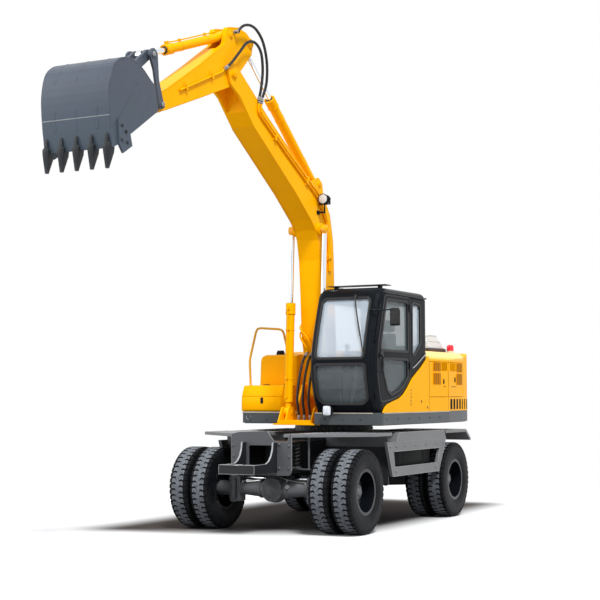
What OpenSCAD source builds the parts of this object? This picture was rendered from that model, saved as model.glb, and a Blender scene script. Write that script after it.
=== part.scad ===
// Wheeled excavator on twin tyres: undercarriage, revolving house, cab, boom, arm and bucket.
// Machine frame: X forward, Y to the cab side, Z up from the ground, X = 0 midway between the axles.
// Side outlines are lists of [x, z] or [x, z, corner radius].

/* [Wheels] */
// Outer radius of a tyre
tyre_r = 509; // [480:1:520]
// Width of a tyre
tyre_w = 259; // [235:1:270]
// Distance between the centres of twin tyres
twin_pitch = 301; // [290:1:320]
// Radius of the rim under the bead
rim_r = 262; // [240:1:275]
// Centre of a twin pair from the machine's middle
track_half = 972; // [950:1:1020]
// Distance between the axles
wheelbase = 2900; // [2860:5:2960]

/* [Undercarriage] */
// Height of the chassis deck, under the slewing ring
chassis_top = 1200; // [1190:1:1215]
// Underside of the chassis beams
chassis_low = 720; // [700:1:735]
// Half width of the front part, between the steered wheels
neck_half = 300; // [260:1:340]
// Half width of the middle box
box_half = 480; // [440:1:560]
// Outer face of the steps, from the middle
step_y = 1220; // [1190:1:1240]
// Plate thickness of the chassis
chassis_t = 16; // [10:1:20]
// Kingpin from the machine's middle
kingpin_y = 600; // [590:1:610]

/* [Slewing ring] */
// Centre of the ring along the machine
slew_x = -180; // [-220:1:-140]
// Outer radius of the ring
slew_r = 520; // [480:1:560]
// Height of the lower race
slew_h = 74; // [60:1:78]

/* [House] */
// Underside of the revolving deck
deck_z = 1290; // [1286:1:1300]
// Top of the dark skirt, where the hood and cab sit
skirt_top = 1450; // [1440:1:1460]
// Left face of the house
house_left = 1220; // [1200:1:1240]
// Right face of the house
house_right = -1200; // [-1230:1:-1180]
// Rear face of the house
house_rear = -2350; // [-2400:5:-2300]
// Top of the engine hood at its edge
hood_top = 2190; // [2120:1:2240]
// Sheet thickness of hood and doors
sheet_t = 20; // [12:1:25]
// Gap round doors and lids
door_gap = 6; // [5:0.5:10]

/* [Cab] */
// Right face of the cab, next to the boom
cab_right = 306; // [304:1:330]
// Left face of the cab
cab_left = 1200; // [1180:1:1210]
// Front of the skirt under the cab
cab_front = 990; // [980:1:1020]
// Rear of the cab at the roof
cab_rear = -555; // [-560:1:-540]
// Top of the roof
cab_top = 3020; // [2960:1:3060]
// Wall thickness of the cab
cab_t = 45; // [35:1:55]
// Thickness of a pane
glass_t = 8; // [5:1:10]

/* [Boom] */
// Half width over the boom's side plates
boom_half = 155; // [140:1:160]
// Plate thickness of boom and arm
plate_t = 12; // [8:1:16]
// Distance of a boom cylinder from the middle
lift_y = 236; // [232:1:240]

/* [Arm and bucket] */
// Half width over the arm's side plates
arm_half = 120; // [110:1:124]
// Half width over the bucket's side plates
bucket_half = 415; // [400:1:440]
// Thickness of the bucket's plates
bucket_t = 18; // [12:1:24]
// Number of teeth
tooth_count = 5; // [3:1:6]

/* [Cylinders] */
// Radius of the boom cylinders' barrels
lift_barrel_r = 55; // [50:1:58]
// Radius of the boom cylinders' rods
lift_rod_r = 32; // [28:1:36]
// Radius of the arm cylinder's barrel
arm_barrel_r = 62; // [55:1:64]
// Radius of the arm cylinder's rod
arm_rod_r = 36; // [30:1:40]
// Radius of the bucket cylinder's barrel
bucket_barrel_r = 52; // [46:1:54]
// Radius of the bucket cylinder's rod
bucket_rod_r = 32; // [28:1:36]
// Radius of the hinge pins
pin_r = 35; // [28:1:38]

/* [Hidden] */
$fn = 48;
fit = 0.5;

// Pivots in the side plane, [x, z]
boom_foot = [160, 1720];
lift_base = [680, 1450];
lift_eye = [555, 3830];
arm_pivot = [2760, 5430];
crowd_base = [420, 4446];
crowd_eye = [2310, 5900];
curl_base = [2770, 5900];
link_top = [4460, 5300];
guide_foot = [4288, 4788];
bucket_pin = [4630, 4670];
bucket_ear = [4842, 5009];
mirror_out = 1490;
bucket_out_x = 5620;
tyre_out = track_half + twin_pitch / 2 + tyre_w / 2;
axle_x = wheelbase / 2;

// The row's origin is on the ground under the middle of the whole machine's box
row_x = -(bucket_out_x + house_rear) / 2;
row_y = -(mirror_out - tyre_out) / 2;

function unit(v) = v / norm(v);
function xy(p) = [p.x, p.y];
// Corner points with their radius become short arcs
function rounded(c, n = 4) = [for (i = [0 : len(c) - 1])
    let (q = xy(c[i]), r = c[i][2] == undef ? 0 : c[i][2],
        u = unit(xy(c[(i + len(c) - 1) % len(c)]) - q), v = unit(xy(c[(i + 1) % len(c)]) - q),
        half = acos(max(-1, min(1, u * v))) / 2, m = q + unit(u + v) * r / sin(half),
        a = q + u * r / tan(half) - m, b = q + v * r / tan(half) - m,
        a0 = atan2(a.y, a.x), turn = (atan2(b.y, b.x) - a0 + 540) % 360 - 180)
    each r == 0 ? [q] : [for (k = [0 : n]) m + r * [cos(a0 + turn * k / n), sin(a0 + turn * k / n)]]];
// Sign of an outline's turn: 1 where it runs anticlockwise
function winding(p) = sign([for (i = [0 : len(p) - 1]) cross(p[i], p[(i + 1) % len(p)])] * [for (q = p) 1]);
// A closed outline moved inwards by t
function inset(p, t) = let (w = winding(p)) [for (i = [0 : len(p) - 1])
    let (a = unit(p[i] - p[(i + len(p) - 1) % len(p)]), b = unit(p[(i + 1) % len(p)] - p[i]),
        m = w * [-a.y, a.x], n = w * [-b.y, b.x])
    p[i] + (m + n) * t / (1 + m * n)];

// A side outline given depth from y0 to y1
module side(y0, y1) {
    translate([0, y1, 0])
        rotate([90, 0, 0])
            linear_extrude(y1 - y0) children();
}
// A round bar across the machine at a pivot
module across(p, r, y0, y1) {
    side(y0, y1) translate(p) circle(r);
}
module both_sides() {
    children();
    mirror([0, 1, 0]) children();
}
// A round bar between two points
module bar(a, b, r) {
    d = b - a;
    translate(a)
        rotate([0, acos(d.z / norm(d)), atan2(d.y, d.x)])
            cylinder(r = r, h = norm(d));
}
// A pipe or hose swept along its route
module hose(route, r) {
    n = 8;
    m = len(route);
    dirs = [for (i = [0 : m - 1]) unit(route[min(i + 1, m - 1)] - route[max(i - 1, 0)])];
    loft([for (i = [0 : m - 1])
        let (t = dirs[i], s = unit(cross(t, [0.05, 1, 0.02])), b = cross(t, s))
        [for (k = [0 : n - 1]) route[i] + r * (cos(360 * k / n) * s + sin(360 * k / n) * b)]]);
}
// A body through rings of points, all with the same number
module loft(rings) {
    n = len(rings[0]);
    m = len(rings);
    polyhedron(points = [for (r = rings) each r], faces = concat(
        [[for (k = [0 : n - 1]) k]],
        [for (i = [0 : m - 2]) for (k = [0 : n - 1]) [i * n + k, (i + 1) * n + k, (i + 1) * n + (k + 1) % n, i * n + (k + 1) % n]],
        [[for (k = [n - 1 : -1 : 0]) (m - 1) * n + k]]));
}
// Points on a smooth curve through hand-placed ones
function smooth(p, n = 3) = concat([for (i = [0 : len(p) - 2])
    let (a = p[max(i - 1, 0)], b = p[i], c = p[i + 1], d = p[min(i + 2, len(p) - 1)])
    for (k = [0 : n - 1]) let (t = k / n)
        0.5 * (2 * b + (c - a) * t + (2 * a - 5 * b + 4 * c - d) * t * t + (3 * b - 3 * c + d - a) * t * t * t)], [p[len(p) - 1]]);
// A bent tube: straight runs between corners that turn in a short arc
function bends(p, reach) = [for (i = [0 : len(p) - 1])
    each i == 0 || i == len(p) - 1 ? [p[i]]
        : let (a = p[i] + unit(p[i - 1] - p[i]) * reach, c = p[i] + unit(p[i + 1] - p[i]) * reach)
            [a, (a + c) / 4 + p[i] / 2, c]];
module block(lo, hi) {
    translate(lo) cube(hi - lo);
}
// What follows a line from a to b in the side plane: x runs along it
module along(a, b) {
    translate([a.x, 0, a.y])
        rotate([0, -atan2(b.y - a.y, b.x - a.x), 0])
            children();
}
module row() {
    translate([row_x, row_y, 0]) children();
}
module front() { translate([axle_x, 0, 0]) children(); }
module rear() { translate([-axle_x, 0, 0]) children(); }

// Twin tyres, turned about Y at the middle of the pair
bead_half = 0.38 * tyre_w;
module tyre_section() {
    w = tyre_w / 2;
    polygon([[rim_r, -bead_half], [rim_r + 40, 16 - w], [rim_r + 110, -w], [tyre_r - 70, 4 - w],
        [tyre_r - 12, 14 - w], [tyre_r, 34 - w], [tyre_r, w - 34], [tyre_r - 12, w - 14],
        [tyre_r - 70, w - 4], [rim_r + 110, w], [rim_r + 40, w - 16], [rim_r, bead_half]]);
}
module twin_tyres(x, y) {
    color([0.13, 0.13, 0.14])
        for (s = [-1, 1])
            translate([x, y + s * twin_pitch / 2, tyre_r])
                rotate([90, 0, 0])
                    rotate_extrude() tyre_section();
}
// Both rims and the hub between them as one turned piece, the knuckle or axle end enters at its inner side
hub_r = 105;
hub_bore = 46;
hub_in = 130;
module rim_section() {
    half = 0.43 * tyre_w;
    wall = 20;
    gap = 0.3;
    for (s = [-1, 1]) {
        c = s * twin_pitch / 2;
        polygon([[rim_r - gap - wall, c - half], [rim_r + 18, c - half], [rim_r + 18, c - half + 6],
            [rim_r - gap, c - bead_half - 4], [rim_r - gap, c + bead_half + 4], [rim_r + 18, c + half - 6],
            [rim_r + 18, c + half], [rim_r - gap - wall, c + half]]);
        polygon([[hub_r - 10, s * 8], [170, s * 8], [rim_r - wall - 2, s * 60], [rim_r - wall + 6, s * 60],
            [rim_r - wall + 6, s * 84], [rim_r - wall - 6, s * 82], [170, s * 30], [hub_r - 10, s * 30]]);
    }
    polygon([[hub_bore, -hub_in], [hub_r - 10, -hub_in], [hub_r, -hub_in + 10], [hub_r, -12], [165, -12],
        [165, 12], [hub_r, 12], [hub_r - 15, 90], [0, 95], [0, -30], [hub_bore, -30]]);
}
module twin_rims(x, side_sign) {
    color([0.10, 0.10, 0.11])
        translate([x, side_sign * track_half, tyre_r])
            rotate([-90 * side_sign, 0, 0])
                rotate_extrude() rim_section();
}
module tyres_front_left() { row() twin_tyres(axle_x, track_half); }
module tyres_front_right() { row() twin_tyres(axle_x, -track_half); }
module tyres_rear_left() { row() twin_tyres(-axle_x, track_half); }
module tyres_rear_right() { row() twin_tyres(-axle_x, -track_half); }
module rims_front_left() { row() twin_rims(axle_x, 1); }
module rims_front_right() { row() twin_rims(axle_x, -1); }
module rims_rear_left() { row() twin_rims(-axle_x, 1); }
module rims_rear_right() { row() twin_rims(-axle_x, -1); }

// Steel grey of the undercarriage
module chassis_paint() { color([0.33, 0.34, 0.36]) children(); }

// Steered axle: housing, tapered arms and the forks that hold the kingpins
fork_z = 120;
fork_t = 36;
hanger_x = 110;
module axle_arms(y_end, r_in, r_out) {
    both_sides()
        translate([0, 90, tyre_r])
            rotate([-90, 0, 0])
                cylinder(r1 = r_in, r2 = r_out, h = y_end - 90);
}
module front_axle() {
    row() front() chassis_paint() {
        difference() {
            union() {
                translate([0, 0, tyre_r]) sphere(165);
                axle_arms(kingpin_y - 90, 110, 72);
                both_sides() {
                    block([-70, kingpin_y - 130, tyre_r - fork_z - fork_t], [70, kingpin_y - 85, tyre_r + fork_z + fork_t]);
                    for (z = [-fork_z - fork_t, fork_z])
                        translate([0, kingpin_y, tyre_r + z]) {
                            cylinder(r = 58, h = fork_t);
                            translate([-58, -100, 0]) cube([116, 100, fork_t]);
                        }
                }
                block([-hanger_x + 10, -70, tyre_r + 140], [hanger_x - 10, 70, chassis_low + 10]);
            }
            both_sides()
                translate([0, kingpin_y, 0]) cylinder(r = 25 + fit, h = 2 * tyre_r);
            translate([-200, 0, chassis_low - 40]) rotate([0, 90, 0]) cylinder(r = 30 + fit, h = 400);
        }
        // Steering cylinder's barrel behind the housing
        difference() {
            union() {
                translate([steer_x, 150, tyre_r + rod_rise]) rotate([90, 0, 0]) cylinder(r = 42, h = 300);
                block([steer_x, -60, tyre_r + rod_rise - 42], [-90, 60, tyre_r + rod_rise]);
            }
            translate([steer_x, 200, tyre_r + rod_rise]) rotate([90, 0, 0]) cylinder(r = 22 + fit, h = 400);
        }
    }
}
module rear_axle() {
    row() rear() chassis_paint()
        union() {
            translate([0, 0, tyre_r]) sphere(175);
            axle_arms(track_half - hub_in - fit, 115, 80);
            both_sides() {
                block([-80, 240, tyre_r + 40], [80, 330, chassis_low - 0.3]);
                translate([0, track_half - hub_in - 1, tyre_r]) rotate([-90, 0, 0]) cylinder(r = hub_bore - fit, h = 98);
            }
        }
}
// Steering knuckle: block between the forks, kingpin, spindle and arm to the steering rod
steer_x = -190;
rod_rise = 116;
module knuckle() {
    chassis_paint()
        translate([axle_x, 0, 0]) {
            translate([0, kingpin_y, tyre_r - fork_z - fork_t]) cylinder(r = 25, h = 2 * (fork_z + fork_t));
            translate([0, kingpin_y, tyre_r - fork_z + fit]) cylinder(r = 62, h = 2 * fork_z - 2 * fit);
            translate([0, kingpin_y, tyre_r]) rotate([-90, 0, 0]) cylinder(r = 92, h = track_half - hub_in - kingpin_y - fit);
            translate([0, kingpin_y, tyre_r]) rotate([-90, 0, 0]) cylinder(r = hub_bore - fit, h = track_half - kingpin_y - 32);
            block([steer_x, kingpin_y - 24, tyre_r + rod_rise - 50], [0, kingpin_y + 24, tyre_r + rod_rise - 26]);
            translate([steer_x, kingpin_y, tyre_r + rod_rise - 50]) cylinder(r = 34, h = 24);
        }
}
module knuckle_left() { row() knuckle(); }
module knuckle_right() { row() mirror([0, 1, 0]) knuckle(); }
// Steering rod: slides through its cylinder and ends above the knuckles' arms
module steer_rod() {
    row() front() color([0.75, 0.76, 0.78]) {
        translate([steer_x, kingpin_y, tyre_r + rod_rise]) rotate([90, 0, 0]) cylinder(r = 22, h = 2 * kingpin_y);
        both_sides() translate([steer_x, kingpin_y, tyre_r + rod_rise - 25]) cylinder(r = 30, h = 50);
    }
}
module drive_shaft() {
    row() color([0.28, 0.29, 0.31]) {
        bar([-axle_x + 177, 0, tyre_r], [axle_x - 167, 0, tyre_r], 38);
        for (x = [-axle_x + 200, -330, 330, axle_x - 230])
            bar([x, 0, tyre_r], [x + 60, 0, tyre_r], 62);
        block([-330, -150, tyre_r - 110], [330, 150, chassis_low - 110.3]);
        // Crossbar that hangs the transfer gearbox from the beams
        block([-200, -neck_half, chassis_low - 111], [200, neck_half, chassis_low - 0.3]);
    }
}

// Chassis: two beams, the box under the slewing ring, the deck plate and the axle seats
module chassis_frame() {
    t = chassis_t;
    row() chassis_paint()
        difference() {
            union() {
                both_sides() {
                    block([-1900, neck_half - t, chassis_low], [641, neck_half, chassis_top - 60]);
                    block([640, neck_half - t, chassis_low], [1800, neck_half, chassis_top - 100]);
                }
                difference() {
                    block([-860, -box_half, chassis_low - 80], [640, box_half, chassis_top]);
                    block([-860 + t, -box_half + t, chassis_low - 81], [640 - t, box_half - t, chassis_top - 26]);
                }
                block([-1900, -neck_half, chassis_low], [-1900 + t, neck_half, chassis_top - 60]);
                block([-1900, -neck_half, chassis_top - 76], [-860, neck_half, chassis_top - 60]);
                block([640, -neck_half, chassis_top - 116], [1800, neck_half, chassis_top - 100]);
                // Hangers that hold the front axle's pivot
                for (x = [axle_x - hanger_x - 20, axle_x + hanger_x])
                    block([x, -70, chassis_low - 78], [x + 20, 70, chassis_top - 100]);
                translate([axle_x - hanger_x - 25, 0, chassis_low - 40]) rotate([0, 90, 0]) cylinder(r = 30, h = 2 * hanger_x + 50);
                // Seats of the rear axle
                both_sides() block([-axle_x - 80, 240, chassis_low - 0.01], [-axle_x + 80, 330, chassis_low + 60]);
            }
            translate([slew_x, 0, chassis_top - 100]) cylinder(r = slew_r - 120, h = 200);
        }
}
cross_y = 420;
module front_tray() {
    row() chassis_paint() {
        both_sides()
            side(205, 225)
                polygon(concat([[1800.3, 740], [2400, 740], [2400, 845]],
                    [for (a = [80 : -20 : 0]) [2130 + 210 * cos(180 + a), 1100 - 255 + 255 * (1 - sin(a))]],
                    [[1900, 1100], [1800.3, 1100]]));
        // Cross plate at the front of the beams, seen from the front as [y, z]
        translate([1800.3, 0, 0])
            rotate([90, 0, 90])
                linear_extrude(18)
                    difference() {
                        polygon(rounded([[-cross_y, 700, 60], [cross_y, 700, 60], [cross_y, chassis_top, 20], [cross_y - 30, chassis_top], [cross_y - 55, 1105],
                            [180, 1105], [82, chassis_top + 35], [-300, chassis_top + 22], [-cross_y, chassis_top]]));
                        polygon(rounded([[-175, 800, 30], [175, 800, 30], [175, 1060, 30], [-175, 1060, 30]]));
                    }
        block([1818, -205, 740], [2330.1, 205, 756]);
        difference() {
            block([2330, -240, 740], [2420, 240, 846]);
            translate([2376, 0, 700]) cylinder(r = 30, h = 200);
        }
    }
}
module slew_ring() {
    row() color([0.12, 0.12, 0.13])
        translate([slew_x, 0, chassis_top]) {
            difference() {
                cylinder(r = slew_r, h = slew_h);
                translate([0, 0, -1]) cylinder(r = slew_r - 90, h = slew_h + 2);
            }
        }
}
// Side step: an open plate frame below, a tread box above, braced to the chassis
step_front = axle_x - 650;
step_rear = 284 - axle_x;
module step_frame() {
    difference() {
        side(step_y - 40, step_y)
            polygon([[step_front, 1080], [step_front - 175, 650], [step_rear + 266, 650], [step_rear, 1080]]);
        side(step_y - 60, step_y + 10)
            polygon([[step_front - 200, 960], [step_front - 240, 765], [step_rear + 316, 765], [step_rear + 226, 960]]);
    }
    side(step_y - 320, step_y - 1)
        polygon([[step_front - 300, 1080], [step_front - 380, chassis_top - 4], [step_rear + 66, chassis_top - 4], [step_rear, 1080]]);
    for (x = [-820, 500])
        for (z = [[1000, 1085], [680, 740]])
            block([x, box_half + 0.3, z[0]], [x + 40, step_y - 39, z[1]]);
}
module step_left() { row() chassis_paint() step_frame(); }
module step_right() { row() chassis_paint() mirror([0, 1, 0]) step_frame(); }
module front_fenders() {
    row() chassis_paint() both_sides() {
        translate([0, 0, chassis_top - 40])
            linear_extrude(40)
                polygon([[645, neck_half + 0.3], [1800, neck_half + 0.3], [1800, cross_y], [1140, step_y], [645, step_y]]);
        block([640.3, neck_half + 0.3, 560], [656, 1170, chassis_top - 10]);
    }
}
module rear_fenders() {
    row() chassis_paint() both_sides() {
        side(neck_half + 0.3, step_y)
            polygon([[-1166.5, 1150], [-1166.5, 1190], [-1930, 1190], [-2110, 1060], [-2110, 1030],
                [-2090, 1030], [-1925, 1150]]);
        for (x = [-1400, -1800])
            block([x, neck_half + 0.3, 1040], [x + 60, neck_half + 120, 1151]);
    }
}

// House
skirt_t = 26;
// Plan of the house from above, with its tapered and rounded tail
tail_in = 45;
well_y = lift_y + 66;
house_plan = rounded([[cab_front, well_y, 0], [cab_front, house_left, 90], [-1300, house_left, 0],
    [-1900, house_left - tail_in, 0], [house_rear, house_left - 2 * tail_in, 220],
    [house_rear, house_right + 2 * tail_in, 220], [-1900, house_right + tail_in, 0], [-1300, house_right, 0],
    [235, house_right, 60], [235, well_y, 0]]);
mast_half = 205;
mast_t = 30;
module house_paint() { color([0.98, 0.68, 0.02]) children(); }
module deck() {
    row() house_paint() {
        // Bottom plate
        translate([0, 0, deck_z]) linear_extrude(20) polygon(inset(house_plan, skirt_t + 0.3));
        block([0, -mast_half - mast_t - 60, deck_z], [cab_front - 10, mast_half + mast_t + 60, deck_z + 20]);
        // Ring that turns on the lower race
        difference() {
            translate([slew_x, 0, chassis_top + slew_h + fit]) cylinder(r = slew_r - 10, h = deck_z - chassis_top - slew_h);
            translate([slew_x, 0, chassis_top]) cylinder(r = slew_r - 90, h = 200);
        }
        // Main plates that carry the boom
        both_sides()
            side(mast_half, mast_half + mast_t)
                polygon(rounded([[hood_front + fit, deck_z + 10], [440, deck_z + 10], [440, 1560, 60],
                    [boom_foot.x + 150, boom_foot.y + 90, 90], [boom_foot.x - 120, boom_foot.y + 130, 110],
                    [-420, 1560, 80], [hood_front + fit, 1530]]));
        // Clevises of the boom cylinders
        both_sides()
            for (y = [lift_y - 58, lift_y + 41])
                side(y, y + 17)
                    polygon(rounded([[540, deck_z + 10], [880, deck_z + 10], [lift_base.x + 80, lift_base.y + 70, 60],
                        [lift_base.x - 80, lift_base.y + 70, 60]]));
        block([440, -mast_half - mast_t, deck_z + 19], [cab_front - 10, mast_half + mast_t, deck_z + 60]);
        both_sides() across(lift_base, pin_r, lift_y - 64, lift_y + 62);
        across(boom_foot, 45, -mast_half - mast_t - 12, mast_half + mast_t + 12);
    }
}

// Dark skirt round the deck, open where the boom comes down
module skirt() {
    row() color([0.20, 0.21, 0.22])
        difference() {
            translate([0, 0, deck_z + 8])
                linear_extrude(skirt_top - deck_z - 8)
                    difference() {
                        polygon(house_plan);
                        polygon(inset(house_plan, skirt_t));
                    }
            block([150, -560, deck_z], [240, well_y + skirt_t - 0.1, skirt_top + 1]);
        }
}

// Hood: section across the machine, cut to the plan
tail_x = -1975;
hood_front = -580;
crown = 70;
function hood_section(d) = inset([[house_left, skirt_top + fit - d], [house_left, hood_top - 40],
    [house_left - 110, hood_top + crown], [house_right + 110, hood_top + crown],
    [house_right, hood_top - 40], [house_right, skirt_top + fit - d]], d);
module hood_mass(d, x0, x1) {
    intersection() {
        translate([0, 0, skirt_top + fit - d / 2]) linear_extrude(2000) polygon(inset(house_plan, d));
        translate([x0, 0, 0]) rotate([90, 0, 90]) linear_extrude(x1 - x0) polygon(hood_section(d));
    }
}
// How far the house's side has come in at x
function taper(x) = x > -1300 ? 0 : x > -1900 ? tail_in * (-1300 - x) / 600 : tail_in + tail_in * (-1900 - x) / (-1900 - house_rear);
// Side openings of the hood: x from, x to, inner y, outer y, y of the hinge at the door's rear edge
door_bays = [
    [-1262, hood_front - 25, house_left - 90, house_left + 5, house_left - taper(-1256)],
    [-1960, -1282, house_left - 90, house_left + 5, house_left - taper(-1954)],
    [-1500, -640, house_right - 5, house_right + 90, house_right + taper(-1494)]];
door_low = 1640;
door_high = 2120;
module door_panel(bay, g) {
    block([bay[0] + g, bay[2], door_low + g], [bay[1] - g, bay[3], door_high - g]);
}
module hood_sheet() {
    difference() {
        hood_mass(0, tail_x + fit, hood_front);
        hood_mass(sheet_t, tail_x - 100, hood_front - sheet_t);
    }
}
module hood_door(bay) {
    row() house_paint() {
        intersection() {
            hood_sheet();
            door_panel(bay, door_gap);
        }
        for (z = [door_low + 60, door_high - 130])
            translate([bay[0] + door_gap, bay[4], z]) cylinder(r = door_gap - 0.4, h = 70);
    }
}
module hood() {
    row() house_paint() {
        difference() {
            hood_sheet();
            for (bay = door_bays) door_panel(bay, 0);
        }
    }
}
// Panel that runs forward under the cab's door
sill = [[887, 1470], [840, 1515], [765, 1552], [560, 1595], [391, 1625], [250, 1680], [132, 1755], [-34, 1885], [-338, 2035], [-560, 2170]];
module side_panel() {
    row() house_paint()
        side(cab_left + fit, house_left)
            polygon(concat([[hood_front + 0.3, skirt_top + fit], [cab_front - 90, skirt_top + fit]], sill, [[hood_front + 0.3, hood_top - 5]]));
}
module hood_door_front() { hood_door(door_bays[0]); }
module hood_door_rear() { hood_door(door_bays[1]); }
module hood_door_right() { hood_door(door_bays[2]); }
module counterweight() {
    row() house_paint()
        hood_mass(0, house_rear - 10, tail_x - fit);
}
module engine_block() {
    row() color([0.25, 0.26, 0.27]) block([-1850, -420, deck_z + 20.3], [-900, 420, 2050]);
}
tank_front = -220;
tank_in = -580;
tank_top = 2230;
box_top = 1790;
module fuel_tank() {
    row() house_paint()
        side(house_right, tank_in)
            polygon(rounded([[hood_front + fit, skirt_top + fit], [tank_front, skirt_top + fit],
                [tank_front, tank_top, 60], [hood_front + fit, tank_top]]));
    row() color([0.08, 0.08, 0.08]) translate([-430, -950, tank_top - 10]) cylinder(r = 55, h = 50);
}
module tool_box() {
    row() house_paint()
        side(house_right, tank_in)
            polygon(rounded([[tank_front + fit, skirt_top + fit], [235, skirt_top + fit], [215, 1640, 50],
                [130, box_top, 60], [tank_front + fit, box_top]]));
}
module handrail() {
    row() color([0.80, 0.58, 0.12]) {
        hose(bends([[60, -1150, box_top + 10], [90, -1150, 2150], [-110, -1150, 2600], [-130, -750, 2570], [-280, -750, tank_top + 10]], 60), 16);
        for (p = [[60, -1150, box_top], [-280, -750, tank_top]])
            translate([p.x, p.y, p.z + 0.3]) cylinder(r = 32, h = 16);
    }
}
guard_from = [-1840, 700];
guard_size = [630, 260];
module intake_guard() {
    row() color([0.75, 0.76, 0.78])
        translate([guard_from.x, guard_from.y, hood_top + crown + 0.3]) {
            cube([guard_size.x, guard_size.y, 60]);
            translate([30, 30, 59]) cube([guard_size.x - 60, guard_size.y - 60, 175]);
            translate([guard_size.x - 40, 130, 233]) cylinder(r = 30, h = 330);
        }
}
module beacon() {
    row() color([0.8, 0.05, 0.08])
        translate([-1905, 1000, hood_top + crown + 0.3]) {
            cylinder(r = 62, h = 18);
            cylinder(r = 52, h = 90);
        }
}

// Cab
cab_floor = skirt_top + fit;
// How far the front bulges over the skirt's front, by height
cab_bulge = [[1450, -30], [1520, 25], [1620, 72], [1740, 112], [1860, 143], [1990, 160], [2110, 158], [2240, 138], [2480, 72], [2740, -15], [2900, -75],
    [3020, -125]];
function cab_face(z) = cab_front + lookup(z, cab_bulge);
// How far the roof's edge comes in, by height
roof_edge = [[cab_top - 100, 0], [cab_top - 65, 10], [cab_top - 35, 28], [cab_top - 13, 52], [cab_top, 90]];
// Plan of the cab at one height, moved inwards by d
function cab_ring(z, d) = let (e = d + lookup(z + d, roof_edge), f = cab_face(z) - e)
    [for (p = rounded([[cab_rear + e, cab_right + e, max(30 - e, 4)], [f, cab_right + e, max(80 - e, 12)],
        [f, cab_left - e, max(120 - e, 12)], [cab_rear + e, cab_left - e, max(60 - e, 4)]])) [p.x, p.y, z]];
module cab_mass(d) {
    loft([for (z = concat([cab_floor + d], [for (k = [0 : 14]) 1530 + 95 * k], [for (q = roof_edge) q[0] - d])) cab_ring(z, d)]);
}
// Openings in the walls, as side outlines
door_edge = [[20, 1895, 30], [20, 2925, 50], [790, 2925, 60], [1000, 2300], [1035, 2080], [1028, 1900], [975, 1700], [930, 1585, 60],
    [640, 1610, 40], [391, 1662, 30], [132, 1800, 30]];
door_top_pane = [[80, 2225, 30], [80, 2870, 50], [745, 2870, 50], [925, 2300], [935, 2225, 30]];
door_low_pane = [[95, 1890, 40], [95, 2125, 30], [845, 2125, 30], [850, 1960, 40], [735, 1725, 40], [620, 1672, 40], [405, 1718, 30], [240, 1790, 30]];
quarter_pane = [[-335, 2345, 50], [-335, 2850, 50], [-60, 2875, 40], [-60, 2190, 40], [-130, 2190, 40]];
right_pane = [[-430, 2250, 50], [-430, 2860, 60], [760, 2860, 60], [900, 2150, 50], [-330, 2150, 50]];
// Openings in the front: y from, y to, z from, z to, lower corner radius, upper corner radius
low_window = [393, 1085, 1560, 2050, 110, 40];
high_window = [400, 1068, 2125, 2885, 50, 60];
rear_y = [cab_right + 120, cab_left - 120];
rear_z = [2330, 2850];
module outline(c, g) { polygon(inset(rounded(c), g)); }
// A window of the front as a block along the machine
module front_hole(w, g) {
    translate([cab_front - 300, 0, 0])
        rotate([90, 0, 90])
            linear_extrude(600)
                outline([[w[0], w[2], w[4]], [w[1], w[2], w[4]], [w[1], w[3], w[5]], [w[0], w[3], w[5]]], g);
}
module cab_paint() { color([0.11, 0.115, 0.13]) children(); }
module cab_shell() {
    row() cab_paint() {
        difference() {
            cab_mass(0);
            cab_mass(cab_t);
            front_hole(low_window, 0);
            front_hole(high_window, 0);
            side(cab_left - cab_t - 10, cab_left + 10) outline(door_edge, 0);
            side(cab_left - cab_t - 10, cab_left + 10) outline(quarter_pane, 0);
            side(cab_right - 10, cab_right + cab_t + 10) outline(right_pane, 0);
            block([cab_rear - 10, rear_y[0], rear_z[0]], [cab_rear + cab_t + 10, rear_y[1], rear_z[1]]);
        }
        // Sun visor above the roof's front edge, on two posts
        block([560, cab_right + 60, cab_top + 32], [740, cab_left - 20, cab_top + 42]);
        for (y = [cab_right + 120, cab_left - 160]) block([600, y, cab_top - 10], [660, y + 40, cab_top + 33]);
        // Holder at the rear corner
        bar([cab_rear + 20, cab_left - 60, cab_top - 60], [cab_rear - 130, cab_left - 60, cab_top - 60], 10);
    }
}
module cab_glass() {
    g = 0.3;
    row() color([0.70, 0.80, 0.90, 0.4]) {
        for (w = [low_window, high_window])
            intersection() {
                front_hole(w, g);
                side(w[0], w[1])
                    polygon([for (k = [0 : 17]) let (z = w[2] + (w[3] - w[2]) * (k < 9 ? k : 17 - k) / 8)
                        [cab_face(z) - 18 - (k < 9 ? glass_t : 0), z]]);
            }
        side(cab_left - 20 - glass_t, cab_left - 20) outline(quarter_pane, g);
        side(cab_right + 20, cab_right + 20 + glass_t) outline(right_pane, g);
        block([cab_rear + 20, rear_y[0] + g, rear_z[0] + g], [cab_rear + 20 + glass_t, rear_y[1] - g, rear_z[1] - g]);
    }
}
hinge_x = -10;
hinge_y = cab_left + 14;
module cab_door() {
    row() cab_paint()
        difference() {
            union() {
                side(cab_left - cab_t, cab_left) outline(door_edge, door_gap);
                for (z = [2000, 2750]) {
                    block([30, cab_left - 8, z], [70, hinge_y + 12, z + 90]);
                    translate([hinge_x, hinge_y, z]) cylinder(r = 13, h = 90);
                    block([hinge_x, hinge_y - 13, z], [70, hinge_y + 13, z + 90]);
                }
                // Handle bar at the opening edge
                hose(bends([[985, cab_left - 5, 2160], [985, cab_left + 45, 2160], [990, cab_left + 45, 1960], [990, cab_left - 5, 1960]], 20), 11);
            }
            side(cab_left - cab_t - 5, cab_left + 5) outline(door_top_pane, 0);
            side(cab_left - cab_t - 5, cab_left + 5) outline(door_low_pane, 0);
            for (z = [2000, 2750]) translate([hinge_x, hinge_y, z - 5]) cylinder(r = 6 + fit, h = 100);
        }
}
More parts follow.
